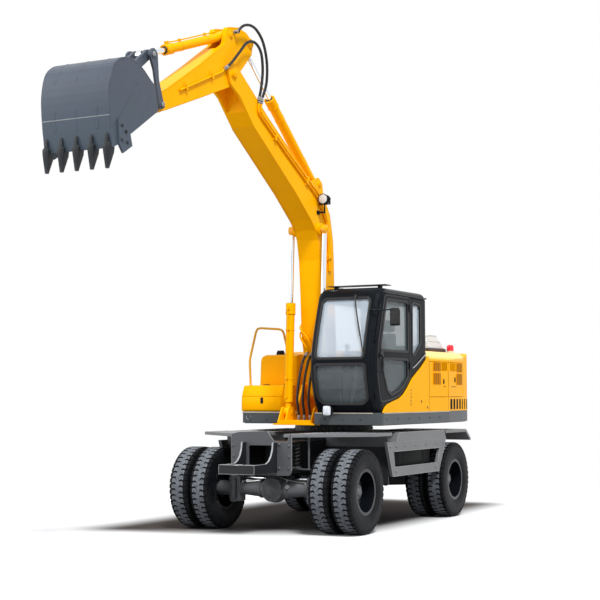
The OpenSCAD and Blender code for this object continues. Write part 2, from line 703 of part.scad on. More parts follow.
module door_glass() {
    row() color([0.70, 0.80, 0.90, 0.4]) {
        side(cab_left - 20 - glass_t, cab_left - 20) outline(door_top_pane, 0.3);
        side(cab_left - 20 - glass_t, cab_left - 20) outline(door_low_pane, 0.3);
    }
}
seat_x = 130;
seat_y = (cab_right + cab_left) / 2;
module seat() {
    z = cab_floor + cab_t + 0.3;
    row() color([0.16, 0.17, 0.19]) {
        block([seat_x - 190, seat_y - 190, z], [seat_x + 190, seat_y + 190, z + 320]);
        side(seat_y - 245, seat_y + 245)
            polygon(rounded([[seat_x - 250, z + 319], [seat_x + 260, z + 319], [seat_x + 270, z + 450, 50], [seat_x - 150, z + 430, 30],
                [seat_x - 290, z + 1000, 60], [seat_x - 420, z + 980, 60]]));
        for (y = [-60, 60]) bar([seat_x - 345, seat_y + y, z + 900], [seat_x - 365, seat_y + y, z + 1050], 9);
        side(seat_y - 130, seat_y + 130)
            polygon(rounded([[seat_x - 395, z + 985], [seat_x - 315, z + 1000], [seat_x - 340, z + 1190, 40], [seat_x - 435, z + 1170, 40]]));
    }
}
module controls() {
    z = cab_floor + cab_t + 0.3;
    row() color([0.10, 0.10, 0.11]) {
        for (y = [seat_y - 340, seat_y + 255]) {
            block([seat_x - 230, y, z], [seat_x + 250, y + 85, z + 560]);
            bar([seat_x + 180, y + 42, z + 555], [seat_x + 210, y + 42, z + 760], 14);
            translate([seat_x + 212, y + 42, z + 790]) sphere(32);
        }
        translate([828, seat_y, z]) cylinder(r = 70, h = 26);
        bar([826, seat_y, z + 14], [640, seat_y, z + 640], 32);
        translate([640, seat_y, z + 640]) rotate([0, -22, 0]) {
            rotate_extrude() translate([180, 0]) circle(14);
            cylinder(r = 45, h = 20);
            for (a = [90, 210, 330]) rotate([0, 0, a]) translate([0, -12, -6]) cube([180, 24, 12]);
        }
        for (y = [-150, 90]) {
            block([785, seat_y + y - 15, z], [825, seat_y + y + 15, z + 16]);
            bar([803, seat_y + y, z + 8], [860, seat_y + y, z + 200], 10);
        }
    }
}
module side_mirror() {
    row() cab_paint() {
        hose(bends([[cab_face(2708) + 0.6, 1085, 2720], [1025, 1085, 2720], [1030, 1390, 2720], [1010, 1430, 2700], [1005, 1430, 2640]], 16), 10);
        translate([990, mirror_out - 120, 2520]) cube([30, 120, 190]);
    }
}
module cab_lamp() {
    row() color([0.9, 0.91, 0.93]) {
        translate([cab_front + 35, 527, 1477]) rotate([0, 90, 0]) cylinder(r = 62, h = 55);
        block([cab_face(1506) + 0.3, 507, 1498], [cab_front + 50, 547, 1506]);
    }
}

// Front linkage
boom_under = [[285, 1800], [450, 2400], [490, 3000], [527, 3430], [584, 3690], [640, 3810], [770, 3930], [1200, 4235],
    [1700, 4545], [2280, 4900], [2610, 5200]];
boom_back = [[2640, 5520], [1930, 5075], [1490, 4830], [1030, 4575], [780, 4430], [520, 4330], [360, 4210], [230, 4055], [143, 3730],
    [120, 3465], [110, 3000], [60, 2400], [40, 1800]];
boom_side = rounded(concat(
    [[boom_foot.x + 120, boom_foot.y - 60, 60]], boom_under, [[arm_pivot.x + 60, arm_pivot.y - 125, 60], [arm_pivot.x + 135, arm_pivot.y + 60, 80],
    [arm_pivot.x + 10, arm_pivot.y + 135, 60]], boom_back, [[boom_foot.x - 125, boom_foot.y - 60, 60], [boom_foot.x, boom_foot.y - 130, 60]]));
fork_x = 2440;
module eye_tube(p, r, half) { across(p, r, -half, half); }
module boom() {
    row() house_paint()
        difference() {
            union() {
                difference() {
                    side(-boom_half, boom_half) polygon(boom_side);
                    side(plate_t - boom_half, boom_half - plate_t)
                        intersection() {
                            polygon(inset(boom_side, plate_t));
                            translate([-500, 1950]) square([fork_x - plate_t + 500, 4000]);
                        }
                }
                eye_tube(boom_foot, 95, mast_half - 6);
                eye_tube(lift_eye, 80, lift_y - 41);
                // Ears that carry the arm cylinder's base
                for (y = [-arm_barrel_r - 30, arm_barrel_r + 6])
                    side(y, y + 24)
                        polygon(rounded([[240, 4040], [crowd_base.x - 90, crowd_base.y + 20, 60], [crowd_base.x + 20, crowd_base.y + 90, 70],
                            [760, 4410], [700, 4360], [420, 4200]]));
                across(crowd_base, pin_r, -arm_barrel_r - 40, arm_barrel_r + 40);
                across(lift_eye, 40, -lift_y + 38, lift_y - 38);
            }
            // Fork that takes the arm
            block([fork_x, -arm_half - 5.5, 4800], [3200, arm_half + 5.5, 6000]);
            eye_bore(boom_foot, 45);
        }
    row() house_paint() across(arm_pivot, 45, -boom_half - 20, boom_half + 20);
}
module eye_bore(p, r) { across(p, r + fit, -400, 400); }
module boom_pipes() {
    y = boom_half + 18.3;
    row() color([0.93, 0.64, 0.05]) {
        for (d = [0, 45])
            hose(bends([[250 + d, y, 3300], [265 + d, y, 3650], [330 + d, y, 3950], [600 + d * 0.5, y, 4290 - d], [1500, y, 4740 - d],
                [2150 + d * 1.2, y, 5093 - d / 3], [2120 + d * 1.4, y, 5190]], 50), 13);
        for (p = [[270, 3500], [900, 4420], [1750, 4870]])
            block([p.x - 30, boom_half + 0.3, p.y - 60], [p.x + 60, boom_half + 12, p.y + 40]);
    }
}
module boom_lamp() {
    row() color([0.85, 0.87, 0.90]) {
        block([550, boom_half + 0.3, 4020], [620, boom_half + 12, 4070]);
        block([570, boom_half + 11, 4035], [600, boom_half + 105, 4055]);
        translate([585, boom_half + 100, 4045]) cylinder(r = 10, h = 120);
        translate([540, boom_half + 100, 4215]) rotate([0, 90, 0]) cylinder(r = 62, h = 90);
    }
}
// A cylinder's barrel from its base pin, a neck up to start, open bore along it, gland collar at its end
module barrel(base, eye, y, r, rod, len, half, start = 0) {
    difference() {
        union() {
            across(base, r + 8, y - half, y + half);
            along(base, eye) {
                translate([0, y, 0]) rotate([0, 90, 0]) cylinder(r = half - 2, h = start + 10);
                translate([start, y, 0]) rotate([0, 90, 0]) cylinder(r = r, h = len - start);
                translate([len - 90, y, 0]) rotate([0, 90, 0]) cylinder(r = r + 9, h = 110);
            }
        }
        across(base, pin_r + fit, y - r - 10, y + r + 10);
        along(base, eye) translate([pin_r + start + 60, y, 0]) rotate([0, 90, 0]) cylinder(r = rod + fit, h = len);
    }
}
// Its rod, with a closed eye that stands for the pin's middle
module rod(base, eye, y, r, inside, half) {
    total = norm(eye - base);
    along(base, eye) translate([total - inside, y, 0]) rotate([0, 90, 0]) cylinder(r = r, h = inside);
    across(eye, r + 24, y - half, y + half);
}
lift_len = 1400;
module boom_barrels() {
    row() house_paint() both_sides() barrel(lift_base, lift_eye, lift_y, lift_barrel_r, lift_rod_r, lift_len, 38, 130);
}
module boom_rods() {
    row() color([0.80, 0.82, 0.85]) both_sides() rod(lift_base, lift_eye, lift_y, lift_rod_r, 1120, 34);
}
crowd_len = 1490;
module arm_barrel() {
    row() house_paint() barrel(crowd_base, crowd_eye, 0, arm_barrel_r, arm_rod_r, crowd_len, arm_barrel_r - 4);
}
module arm_rod() {
    row() color([0.80, 0.82, 0.85]) rod(crowd_base, crowd_eye, 0, arm_rod_r, 1680, 40);
}
curl_len = 1290;
module bucket_barrel() {
    row() house_paint() barrel(curl_base, link_top, 0, bucket_barrel_r, bucket_rod_r, curl_len, bucket_barrel_r - 4);
}
module bucket_rod() {
    row() color([0.80, 0.82, 0.85]) rod(curl_base, link_top, 0, bucket_rod_r, 1100, 34);
}
arm_side = rounded([[2650, 5370, 50], [2770, 5285, 60], [3450, 5020], [4130, 4762], [4600, 4594, 60], [4708, 4650, 60], [4675, 4748, 50],
    [4130, 5000], [3450, 5415], [2900, 5770, 60], [2850, 5980, 60], [2600, 6030, 60], [2400, 6010, 50], [2240, 5930, 60], [2270, 5770, 50], [2570, 5480, 60]]);
module arm() {
    row() house_paint()
        difference() {
            union() {
                difference() {
                    side(-arm_half, arm_half) polygon(arm_side);
                    side(plate_t - arm_half, arm_half - plate_t)
                        intersection() {
                            polygon(inset(arm_side, plate_t));
                            translate([2520, 4000]) square([1900, 1700]);
                        }
                }
                eye_tube(arm_pivot, 85, arm_half);
                eye_tube(guide_foot, 60, arm_half + 8);
                across(crowd_eye, 58, -arm_half - 14, -48);
                across(crowd_eye, 58, 48, arm_half + 14);
            }
            // Slots for the eye of the arm cylinder and the base of the bucket cylinder
            side(-46, 46) translate(crowd_eye) polygon([[-210, -300], [110, -300], [160, 200], [-210, 200]]);
            side(-62, 62) translate(curl_base) polygon([[-120, -200], [-170, 200], [430, 200], [430, -200], [210, -200]]);
            eye_bore(arm_pivot, 45);
            eye_bore(guide_foot, 30);
            eye_bore(bucket_pin, pin_r);
        }
    row() house_paint() across(curl_base, pin_r, -arm_half - 12, arm_half + 12);
}
module arm_pipes() {
    y = arm_half + 16.3;
    row() color([0.93, 0.64, 0.05]) {
        hose(bends([[3900, y, 5020], [3000, y, 5410], [2950, y, 5450]], 20), 12);
        for (x = [3750, 3200]) block([x, arm_half + 0.3, 5330 - (x - 3200) * 0.44 - 40], [x + 40, arm_half + 10, 5330 - (x - 3200) * 0.44 + 50]);
    }
}
// Guide links outside the arm and the link to the bucket between them
link_in = arm_half + 14;
module guide_links() {
    row() color([0.33, 0.35, 0.39]) {
        both_sides()
            side(link_in, link_in + 28)
                polygon(rounded([[guide_foot.x - 60, guide_foot.y - 40, 50], [guide_foot.x + 50, guide_foot.y - 60, 50], [guide_foot.x + 75, guide_foot.y + 60, 40],
                    [link_top.x - 20, link_top.y - 160, 60], [link_top.x + 75, link_top.y + 10, 60], [link_top.x - 10, link_top.y + 80, 50], [link_top.x - 85, link_top.y + 30, 50],
                    [guide_foot.x + 60, guide_foot.y + 260, 200]]));
        across(guide_foot, 30, -link_in - 44, link_in + 44);
        both_sides() across(link_top, 30, 104, link_in + 40);
    }
}
module bucket_link() {
    row() color([0.33, 0.35, 0.39])
        difference() {
            union() {
                both_sides()
                    side(58, 98)
                        link_plate();
                across(bucket_ear, 58, -98, 98);
            }
            across(bucket_ear, 30 + fit, -200, 200);
        }
}
module link_plate() {
    d = unit(bucket_ear - link_top);
    n = [-d.y, d.x];
    polygon([link_top + n * 52, link_top - n * 52, bucket_ear - n * 52, bucket_ear + n * 52]);
    translate(link_top) circle(56);
    translate(bucket_ear) circle(56);
}
bucket_back = concat([[4735, 4612]], smooth([[4800, 4866], [4898, 4918], [5009, 4990], [5130, 5048], [5265, 5062], [5390, 5038], [5480, 4990], [5552, 4920],
    [5596, 4815], [bucket_out_x, 4660], [5612, 4500], [5585, 4300]], 2), [[5552, 4100]]);
bucket_mouth = [[5445, 4150]];
bucket_shape = concat(bucket_back, bucket_mouth);
module bucket() {
    in = inset(bucket_shape, bucket_t);
    last = len(bucket_back) - 1;
    lip = unit(bucket_back[last] - bucket_back[last - 1]);
    heel = unit(bucket_back[0] - bucket_back[1]);
    cavity = concat([in[0] + heel * 80], [for (i = [1 : last]) in[i]], [in[last] + lip * 90]);
    row() color([0.36, 0.38, 0.42]) {
        difference() {
            side(-bucket_half, bucket_half) polygon(bucket_shape);
            side(bucket_t - bucket_half, bucket_half - bucket_t) polygon(cavity);
        }
        // Ears on the back
        difference() {
            both_sides()
                side(arm_half + 8, arm_half + 36)
                    polygon(rounded([[bucket_pin.x - 75, bucket_pin.y - 20, 50], [bucket_pin.x + 10, bucket_pin.y - 80, 50], [4737, 4614], [4804, 4862], [4901, 4911],
                        [5012, 4983], [5075, 5015], [bucket_ear.x + 60, bucket_ear.y + 90, 50], [bucket_ear.x - 60, bucket_ear.y + 60, 60], [4700, 4880, 60], [bucket_pin.x - 60, bucket_pin.y + 60, 50]]));
            across(bucket_ear, 20, -300, 300);
        }
        across(bucket_ear, 30, -arm_half - 50, arm_half + 50);
        across(bucket_pin, pin_r, -arm_half - 50, arm_half + 50);
        teeth();
        side_cutters();
    }
}
tooth_tip = [5568, 3895];
module teeth() {
    for (k = [0 : tooth_count - 1])
        translate([0, (k / (tooth_count - 1) * 2 - 1) * (bucket_half - 45), 0])
            intersection() {
                side(-45, 45)
                    polygon([[5567, 4262], [5594, 4215], [5600, 4110], tooth_tip + [12, 4], tooth_tip - [8, 0], [5502, 4065], [5500, 4120], [5530, 4200]]);
                translate([5300, 0, 0]) rotate([90, 0, 90]) linear_extrude(400)
                    polygon([[-15, tooth_tip.y - 10], [15, tooth_tip.y - 10], [36, 4100], [36, 4135], [17, 4155], [14, 4300], [-14, 4300], [-17, 4155], [-36, 4135],
                        [-36, 4100]]);
            }
}
module side_cutters() {
    both_sides()
        side(bucket_half - 2, bucket_half + 22)
            polygon([[5480, 4394], [5395, 4429], [5272, 4279], [5235, 4164], [5391, 4069], [5460, 4148]]);
}
// Hoses that bridge the arm's pivot and the boom's foot
arm_hose_routes = [
    [[2949, 142, 5452], [2912, 150, 5482], [2850, 182, 5550], [2700, 200, 5700], [2540, 210, 5850], [2360, 215, 5890], [2210, 215, 5800],
        [2150, 205, 5600], [2160, 192, 5400], [2178, 176, 5265], [2182, 174, 5228], [2182, 173.3, 5196.5]],
    [[2700, 121.5, 5950], [2700, 145, 5950], [2700, 168, 5950], [2620, 205, 6035], [2480, 222, 6070], [2330, 228, 6040], [2190, 235, 5920], [2100, 235, 5700],
        [2075, 215, 5450], [2112, 177, 5265], [2119, 174, 5228], [2119, 173.3, 5196.5]]];
module arm_hoses() {
    row() color([0.06, 0.06, 0.07]) for (p = arm_hose_routes) hose(smooth(p), 17);
}
foot_hose_y = [-75, 5, 90];
foot_hose_side = [[406.4, 2234.5], [435.3, 2226.6], [464.2, 2218.6], [575, 2110], [650, 1960], [705, 1800], [735, 1620], [706, 1480], [690, 1410], [690, 1380], [690, 1350.6]];
module foot_hoses() {
    row() color([0.06, 0.06, 0.07]) for (y = foot_hose_y) hose(smooth([for (p = foot_hose_side) [p.x, y, p.y]]), 17);
}

chassis_frame();
front_tray();
front_axle();
rear_axle();
drive_shaft();
slew_ring();
step_left();
step_right();
front_fenders();
rear_fenders();
knuckle_left();
knuckle_right();
steer_rod();
tyres_front_left();
tyres_front_right();
tyres_rear_left();
tyres_rear_right();
rims_front_left();
rims_front_right();
rims_rear_left();
rims_rear_right();
deck();
skirt();
counterweight();
hood();
side_panel();
hood_door_front();
hood_door_rear();
hood_door_right();
engine_block();
fuel_tank();
tool_box();
handrail();
intake_guard();
beacon();
cab_shell();
cab_glass();
cab_door();
door_glass();
seat();
controls();
side_mirror();
cab_lamp();
boom();
boom_pipes();
boom_lamp();
boom_barrels();
boom_rods();
arm_barrel();
arm_rod();
arm();
arm_pipes();
bucket_barrel();
bucket_rod();
guide_links();
bucket_link();
bucket();
arm_hoses();
foot_hoses();
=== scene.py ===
import math
import bpy
import bmesh
from mathutils import Matrix, Vector


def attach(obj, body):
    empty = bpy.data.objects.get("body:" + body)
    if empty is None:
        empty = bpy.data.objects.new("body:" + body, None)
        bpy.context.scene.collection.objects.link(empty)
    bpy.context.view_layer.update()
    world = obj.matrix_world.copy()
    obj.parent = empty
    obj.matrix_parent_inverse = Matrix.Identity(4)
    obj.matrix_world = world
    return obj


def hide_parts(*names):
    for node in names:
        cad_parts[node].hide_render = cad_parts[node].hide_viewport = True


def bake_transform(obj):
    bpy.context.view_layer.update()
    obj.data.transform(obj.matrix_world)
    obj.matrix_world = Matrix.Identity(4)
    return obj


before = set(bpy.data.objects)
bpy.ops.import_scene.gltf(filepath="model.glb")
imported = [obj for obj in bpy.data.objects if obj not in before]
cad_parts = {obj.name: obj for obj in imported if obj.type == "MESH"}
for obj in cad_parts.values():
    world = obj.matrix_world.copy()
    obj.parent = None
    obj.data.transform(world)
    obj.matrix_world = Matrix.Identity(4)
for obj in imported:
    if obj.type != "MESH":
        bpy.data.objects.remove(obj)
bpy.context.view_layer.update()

# The ground: a pale floor with a painted shadow under the machine, dark and soft-edged, which runs on
# into a white surround. Soft light comes from high on the left, and the camera stands low before the left
# corner.
bpy.ops.object.select_all(action="DESELECT")
scene = bpy.context.scene
scene.view_settings.view_transform = "Standard"


class Reading:
    """A shader value. Sums with it, or with plain numbers, become Math nodes."""

    def __init__(self, tree, socket):
        self.tree, self.socket = tree, socket

    def sum_with(self, other, operation, swap=False):
        math_node = self.tree.nodes.new("ShaderNodeMath")
        math_node.operation = operation
        pair = (other, self) if swap else (self, other)
        for slot, item in zip(math_node.inputs, pair):
            if isinstance(item, Reading):
                self.tree.links.new(item.socket, slot)
            elif item is not None:
                slot.default_value = item
        return Reading(self.tree, math_node.outputs[0])

    def __add__(self, other): return self.sum_with(other, "ADD")
    def __radd__(self, other): return self.sum_with(other, "ADD")
    def __sub__(self, other): return self.sum_with(other, "SUBTRACT")
    def __rsub__(self, other): return self.sum_with(other, "SUBTRACT", True)
    def __mul__(self, other): return self.sum_with(other, "MULTIPLY")
    def __rmul__(self, other): return self.sum_with(other, "MULTIPLY")
    def __truediv__(self, other): return self.sum_with(other, "DIVIDE")
    def __gt__(self, other): return self.sum_with(other, "GREATER_THAN")
    def __lt__(self, other): return self.sum_with(other, "LESS_THAN")
    def __pow__(self, other): return self.sum_with(other, "POWER")
    def __mod__(self, other): return self.sum_with(other, "FLOORED_MODULO")
    def __abs__(self): return self.sum_with(None, "ABSOLUTE")
    def most(self, other): return self.sum_with(other, "MAXIMUM")
    def least(self, other): return self.sum_with(other, "MINIMUM")

    def between(self, low, high):
        """0 below low, 1 above high, smooth in between"""
        ramp = self.tree.nodes.new("ShaderNodeMapRange")
        ramp.interpolation_type = "SMOOTHSTEP"
        self.tree.links.new(self.socket, ramp.inputs["Value"])
        ramp.inputs["From Min"].default_value, ramp.inputs["From Max"].default_value = low, high
        return Reading(self.tree, ramp.outputs["Result"])


class Finish:
    """One material and its shader, built node by node"""

    def __init__(self, name, **settings):
        self.material = bpy.data.materials.new(name)
        self.material.use_nodes = True
        self.tree = self.material.node_tree
        self.shader = self.tree.nodes["Principled BSDF"]
        self.set(**settings)

    def set(self, **settings):
        """Gives the shader's inputs a value, a colour or a reading"""
        for key, item in settings.items():
            slot = self.shader.inputs[key.replace("_", " ")]
            if isinstance(item, Reading):
                self.tree.links.new(item.socket, slot)
            elif "Color" in key and isinstance(item, tuple) and len(item) == 3:
                slot.default_value = (*item, 1.0)
            else:
                slot.default_value = item

    def node(self, kind, output, settings=None, **sockets):
        """A new node's output; an input is named, or numbered as n0, n1 and so on"""
        made = self.tree.nodes.new("ShaderNode" + kind)
        for key, item in (settings or {}).items():
            setattr(made, key, item)
        for key, item in sockets.items():
            numbered = key[0] == "n" and key[1:].isdigit()
            slot = made.inputs[int(key[1:]) if numbered else key.replace("_", " ")]
            if isinstance(item, Reading):
                self.tree.links.new(item.socket, slot)
            else:
                slot.default_value = item
        return Reading(self.tree, made.outputs[output])

    def place(self):
        return self.node("TexCoord", "Object")

    def noise(self, scale, detail=4.0, rough=0.55, vector=None):
        return self.node("TexNoise", "Fac", Vector=vector or self.place(), Scale=scale, Detail=detail,
                         Roughness=rough)

    def mix(self, share, first, second):
        """A colour between two others"""
        pick = lambda c: c if isinstance(c, Reading) else (*c, 1.0)
        return self.node("Mix", 2, {"data_type": "RGBA"}, n0=share, n6=pick(first), n7=pick(second))

    def bump(self, height, depth, normal=None):
        sockets = {"Height": height, "Distance": depth, "Strength": 1.0}
        if normal is not None:
            sockets["Normal"] = normal
        self.set(Normal=self.node("Bump", "Normal", **sockets))

    def part(self, axis):
        """X, Y or Z of the place on the object, in metres"""
        return self.node("SeparateXYZ", "XYZ".index(axis), Vector=self.place())

    def colour(self):
        """The base colour as it is up to now"""
        return Reading(self.tree, self.shader.inputs["Base Color"].links[0].from_socket)


def direct_view(tree):
    """1 where the thing itself is seen: from the camera, in a mirror or through glass"""
    path = tree.nodes.new("ShaderNodeLightPath")
    kinds = ("Is Camera Ray", "Is Glossy Ray", "Is Transmission Ray")
    seen_rays = [Reading(tree, path.outputs[kind]) for kind in kinds]
    return seen_rays[0].most(seen_rays[1]).most(seen_rays[2])


def between_shaders(tree, share, first, second):
    """A shader that goes over from the first to the second with the share"""
    node = tree.nodes.new("ShaderNodeMixShader")
    for slot, socket in zip(node.inputs, (share.socket, first, second)):
        tree.links.new(socket, slot)
    return node.outputs[0]


def wear(node_names, finish):
    """Gives solids of the row their finish"""
    for name in node_names:
        node = bpy.data.objects[name]
        node.data.materials.clear()
        node.data.materials.append(finish.material)


floor_side = 160
# Where the painted shadow lies on the floor, how large it is and how softly it fades
shadow_x, shadow_y, shadow_fade = -2.4, -0.72, 0.9
shadow_half_length, shadow_half_width = 2.8, 1.22
view_x, view_y = 0.886, 0.465
fade_near, fade_far = 4.5, 11.0
bpy.ops.mesh.primitive_plane_add(size=1, location=(0, 0, 0))
floor = bpy.context.object
floor.name = "floor"
floor.scale = (floor_side, floor_side, 1)
bpy.ops.object.transform_apply(location=False, rotation=False, scale=True)
ground = Finish("pale_ground", Roughness=0.9, Specular_IOR_Level=0.05)
along, aside = ground.part("X"), ground.part("Y")
past_end = (abs(along - shadow_x) - shadow_half_length).most(0.0)
past_side = (abs(aside - shadow_y) - shadow_half_width).most(0.0)
painted_shadow = 1 - ((past_end ** 2 + past_side ** 2) ** 0.5).between(0.0, shadow_fade)
shadow_near_edge = 1 - (along * view_x + aside * view_y).between(-0.62, 0.86)
# Base colour: a pale floor that turns dark brown inside the painted shadow
ground.set(Base_Color=ground.mix(painted_shadow * shadow_near_edge, (0.93, 0.93, 0.93), (0.050, 0.042, 0.038)))
dim = ground.tree.nodes.new("ShaderNodeBsdfDiffuse")
dim.inputs["Color"].default_value = (0.26, 0.25, 0.25, 1)
glow = ground.tree.nodes.new("ShaderNodeEmission")
shown = between_shaders(ground.tree, direct_view(ground.tree), dim.outputs[0], ground.shader.outputs[0])
distance = ground.node("VectorMath", "Value", {"operation": "LENGTH"}, Vector=ground.place())
far_out = distance.between(fade_near, fade_far)
surface = between_shaders(ground.tree, far_out, shown, glow.outputs[0])
ground.tree.links.new(surface, ground.tree.nodes["Material Output"].inputs["Surface"])
floor.data.materials.append(ground.material)

world = bpy.data.worlds.new("white_surround")
scene.world = world
world.use_nodes = True
sky = world.node_tree
sky.nodes.clear()
seen = sky.nodes.new("ShaderNodeBackground")
seen.inputs["Color"].default_value = (1, 1, 1, 1)
lit = sky.nodes.new("ShaderNodeBackground")
lit.inputs["Color"].default_value = (0.93, 0.96, 1.0, 1)
lit.inputs["Strength"].default_value = 0.66
surround = between_shaders(sky, direct_view(sky), lit.outputs[0], seen.outputs[0])
sky_out = sky.nodes.new("ShaderNodeOutputWorld")
sky.links.new(surround, sky_out.inputs["Surface"])

sun_turn = [math.radians(angle) for angle in (38, 8, 126)]
fill_place, fill_aim = (9, -9, 8), Vector((0, 0, 2))
bpy.ops.object.light_add(type="SUN", rotation=sun_turn)
sun = bpy.context.object
sun.data.energy = 3.5
sun.data.angle = math.radians(14)
bpy.ops.object.light_add(type="AREA", location=fill_place)
fill = bpy.context.object
fill.data.size = 9
fill.data.energy = 600
fill.rotation_euler = (fill_aim - fill.location).to_track_quat("-Z", "Y").to_euler()

# The eye point comes from the photograph's own perspective
eye_point = (15.088, 8.236, 1.671)
heading, upward, roll = 207.68, 3.895, -0.09
bpy.ops.object.camera_add(location=eye_point)
camera = bpy.context.object
camera.rotation_euler = (Matrix.Rotation(math.radians(heading - 90), 3, "Z")
                         @ Matrix.Rotation(math.radians(90 + upward), 3, "X")
                         @ Matrix.Rotation(math.radians(roll), 3, "Z")).to_euler()
camera.data.sensor_width = 36
camera.data.lens = 83.76
camera.data.clip_end = 400
scene.camera = camera

# Undercarriage: welded plates and beams, shot-blasted and sprayed in one coat of grey; dust settles
# on what faces up, and the plates' edges are painted lighter, partly rubbed by feet and stones, partly a
# painted highlight.


def sprayed(name, colour, gloss=0.38, dust=0.25, edge=0.5, dust_colour=(0.40, 0.39, 0.37),
            edge_colour=None, grain=1.0, shine=0.28, mottle=1.0):
    """A sprayed coat: a clouded colour, dust on what faces up, lighter edges and a fine grain; the lighter
    edges are rubbed paint, and on the dark cab and chassis coats a painted highlight
    """
    paint = Finish(name, Roughness=gloss, Specular_IOR_Level=shine)
    cloud = paint.noise(1.7, 5, 0.6)
    fine = paint.noise(23.0, 3, 0.6)
    darker = tuple(c * (1 - 0.10 * mottle) for c in colour)
    lighter = tuple(min(1, c * (1 + 0.05 * mottle)) for c in colour)
    edge_wear_and_highlight_colour = edge_colour or tuple(min(1, c * 1.7 + 0.03) for c in colour)
    shade = paint.mix(cloud.between(0.3, 0.75), darker, lighter)
    soft = paint.node("Bevel", "Normal", {"samples": 4}, Radius=0.006)
    flat = paint.node("NewGeometry", "Normal")
    turn = paint.node("VectorMath", "Value", {"operation": "DOT_PRODUCT"}, n0=soft, n1=flat)
    # Edges turn towards the edge colour: rubbed paint, and on the darkest coats a painted highlight
    rim = (1 - turn).between(0.004, 0.10) * paint.noise(9.0, 4, 0.65).between(0.40, 0.62) * edge
    up = paint.node("SeparateXYZ", 2, Vector=flat).between(0.35, 1.0)
    settled = up * paint.noise(4.5, 6, 0.65).between(0.35, 0.75) * dust
    shade = paint.mix(settled, shade, dust_colour)
    shade = paint.mix(rim, shade, edge_wear_and_highlight_colour)
    paint.set(Base_Color=shade,
              Roughness=(fine * 0.10 * grain + gloss - 0.05 + settled * 0.35 + rim * 0.1))
    paint.bump(paint.noise(70.0, 2, 0.5), 0.0004 * grain, soft)
    return paint


# On the near-black chassis and tray the light edge colour is mostly a painted highlight
chassis_grey = sprayed("chassis_grey", (0.013, 0.014, 0.016), gloss=0.42, dust=0.08, edge=0.9,
                       edge_colour=(0.20, 0.205, 0.215), shine=0.12)
wear(["chassis_frame"], chassis_grey)
tray_grey = sprayed("tray_grey", (0.018, 0.019, 0.021), gloss=0.38, dust=0.10, edge=0.9,
                    edge_colour=(0.30, 0.31, 0.32), shine=0.22)
tray_back = tray_grey.part("X") < 0.186
tray_grey.set(Base_Color=tray_grey.mix(tray_back * 0.75, tray_grey.colour(), (0.105, 0.110, 0.120)))
wear(["front_tray"], tray_grey)
fender_grey = sprayed("fender_grey", (0.170, 0.175, 0.182), gloss=0.40, dust=0.04, edge=0.9,
                      edge_colour=(0.42, 0.43, 0.44))
# Below 1.02 m the fenders turn near-black: painted shade behind the tyres
fender_shaded_foot = fender_grey.part("Z") < 1.02
fender_grey.set(Base_Color=fender_grey.mix(fender_shaded_foot, fender_grey.colour(), (0.022, 0.023, 0.026)))
wear(["front_fenders", "rear_fenders"], fender_grey)
step_grey = sprayed("step_grey", (0.160, 0.163, 0.165), gloss=0.40, dust=0.08, edge=0.7,
                    edge_colour=(0.36, 0.36, 0.365))
wear(["step_left", "step_right"], step_grey)
axle_grey = sprayed("axle_grey", (0.105, 0.109, 0.115), gloss=0.45, dust=0.35, edge=0.6, grain=2.0)
wear(["front_axle", "rear_axle", "knuckle_left", "knuckle_right"], axle_grey)
shaft_grey = sprayed("shaft_grey", (0.045, 0.047, 0.051), gloss=0.45, dust=0.25)
wear(["drive_shaft", "slew_ring", "engine_block"], shaft_grey)

# Tyres: cross-ply truck tyres, two side by side on each axle end, moulded in one piece. The tread is a
# ring of rubber cut from both shoulders by narrow wavy grooves, staggered left and right, so that a
# zigzag rib is left along its middle; the side wall is smooth with a rim bead and shallow rings.
tyre_radius, tyre_width, bead_radius = 0.509, 0.259, 0.2625
tread_floor = tyre_radius - 0.013
pitches = 44
half = tyre_width / 2
axle_x, track_y, twin_offset = 1.45, 0.972, 0.1505


def at(x, y, z):
    """A place measured from the machine's own middle line, in the row's frame"""
    return Vector((x - 1.635, y - 0.119, z))


def blank(name):
    """An empty mesh, open for editing, that primitives are added to"""
    bpy.ops.object.select_all(action="DESELECT")
    bpy.ops.mesh.primitive_plane_add()
    piece = bpy.context.object
    piece.name = name
    bpy.ops.object.mode_set(mode="EDIT")
    bpy.ops.mesh.select_all(action="SELECT")
    bpy.ops.mesh.delete(type="VERT")
    return piece


def only(piece):
    """Closes what is open for editing, and selects this piece alone"""
    if bpy.context.object and bpy.context.object.mode != "OBJECT":
        bpy.ops.object.mode_set(mode="OBJECT")
    bpy.ops.object.select_all(action="DESELECT")
    piece.select_set(True)
    bpy.context.view_layer.objects.active = piece


def turned(name, profile, steps):
    """A profile of radius and width, drawn as a row of points and spun about the wheel's axle"""
    piece = blank(name)
    mesh = bmesh.from_edit_mesh(piece.data)
    row = [mesh.verts.new((0, across, radius)) for radius, across in profile]
    for first, second in zip(row, row[1:]):
        mesh.edges.new((first, second))
    bmesh.update_edit_mesh(piece.data)
    bpy.ops.mesh.select_all(action="SELECT")
    bpy.ops.mesh.spin(steps=steps, angle=2 * math.pi, center=(0, 0, 0), axis=(0, 1, 0))
    bpy.ops.mesh.select_all(action="SELECT")
    bpy.ops.mesh.remove_doubles(threshold=0.00001)
    bpy.ops.mesh.normals_make_consistent(inside=False)
    bpy.ops.object.mode_set(mode="OBJECT")
    return piece


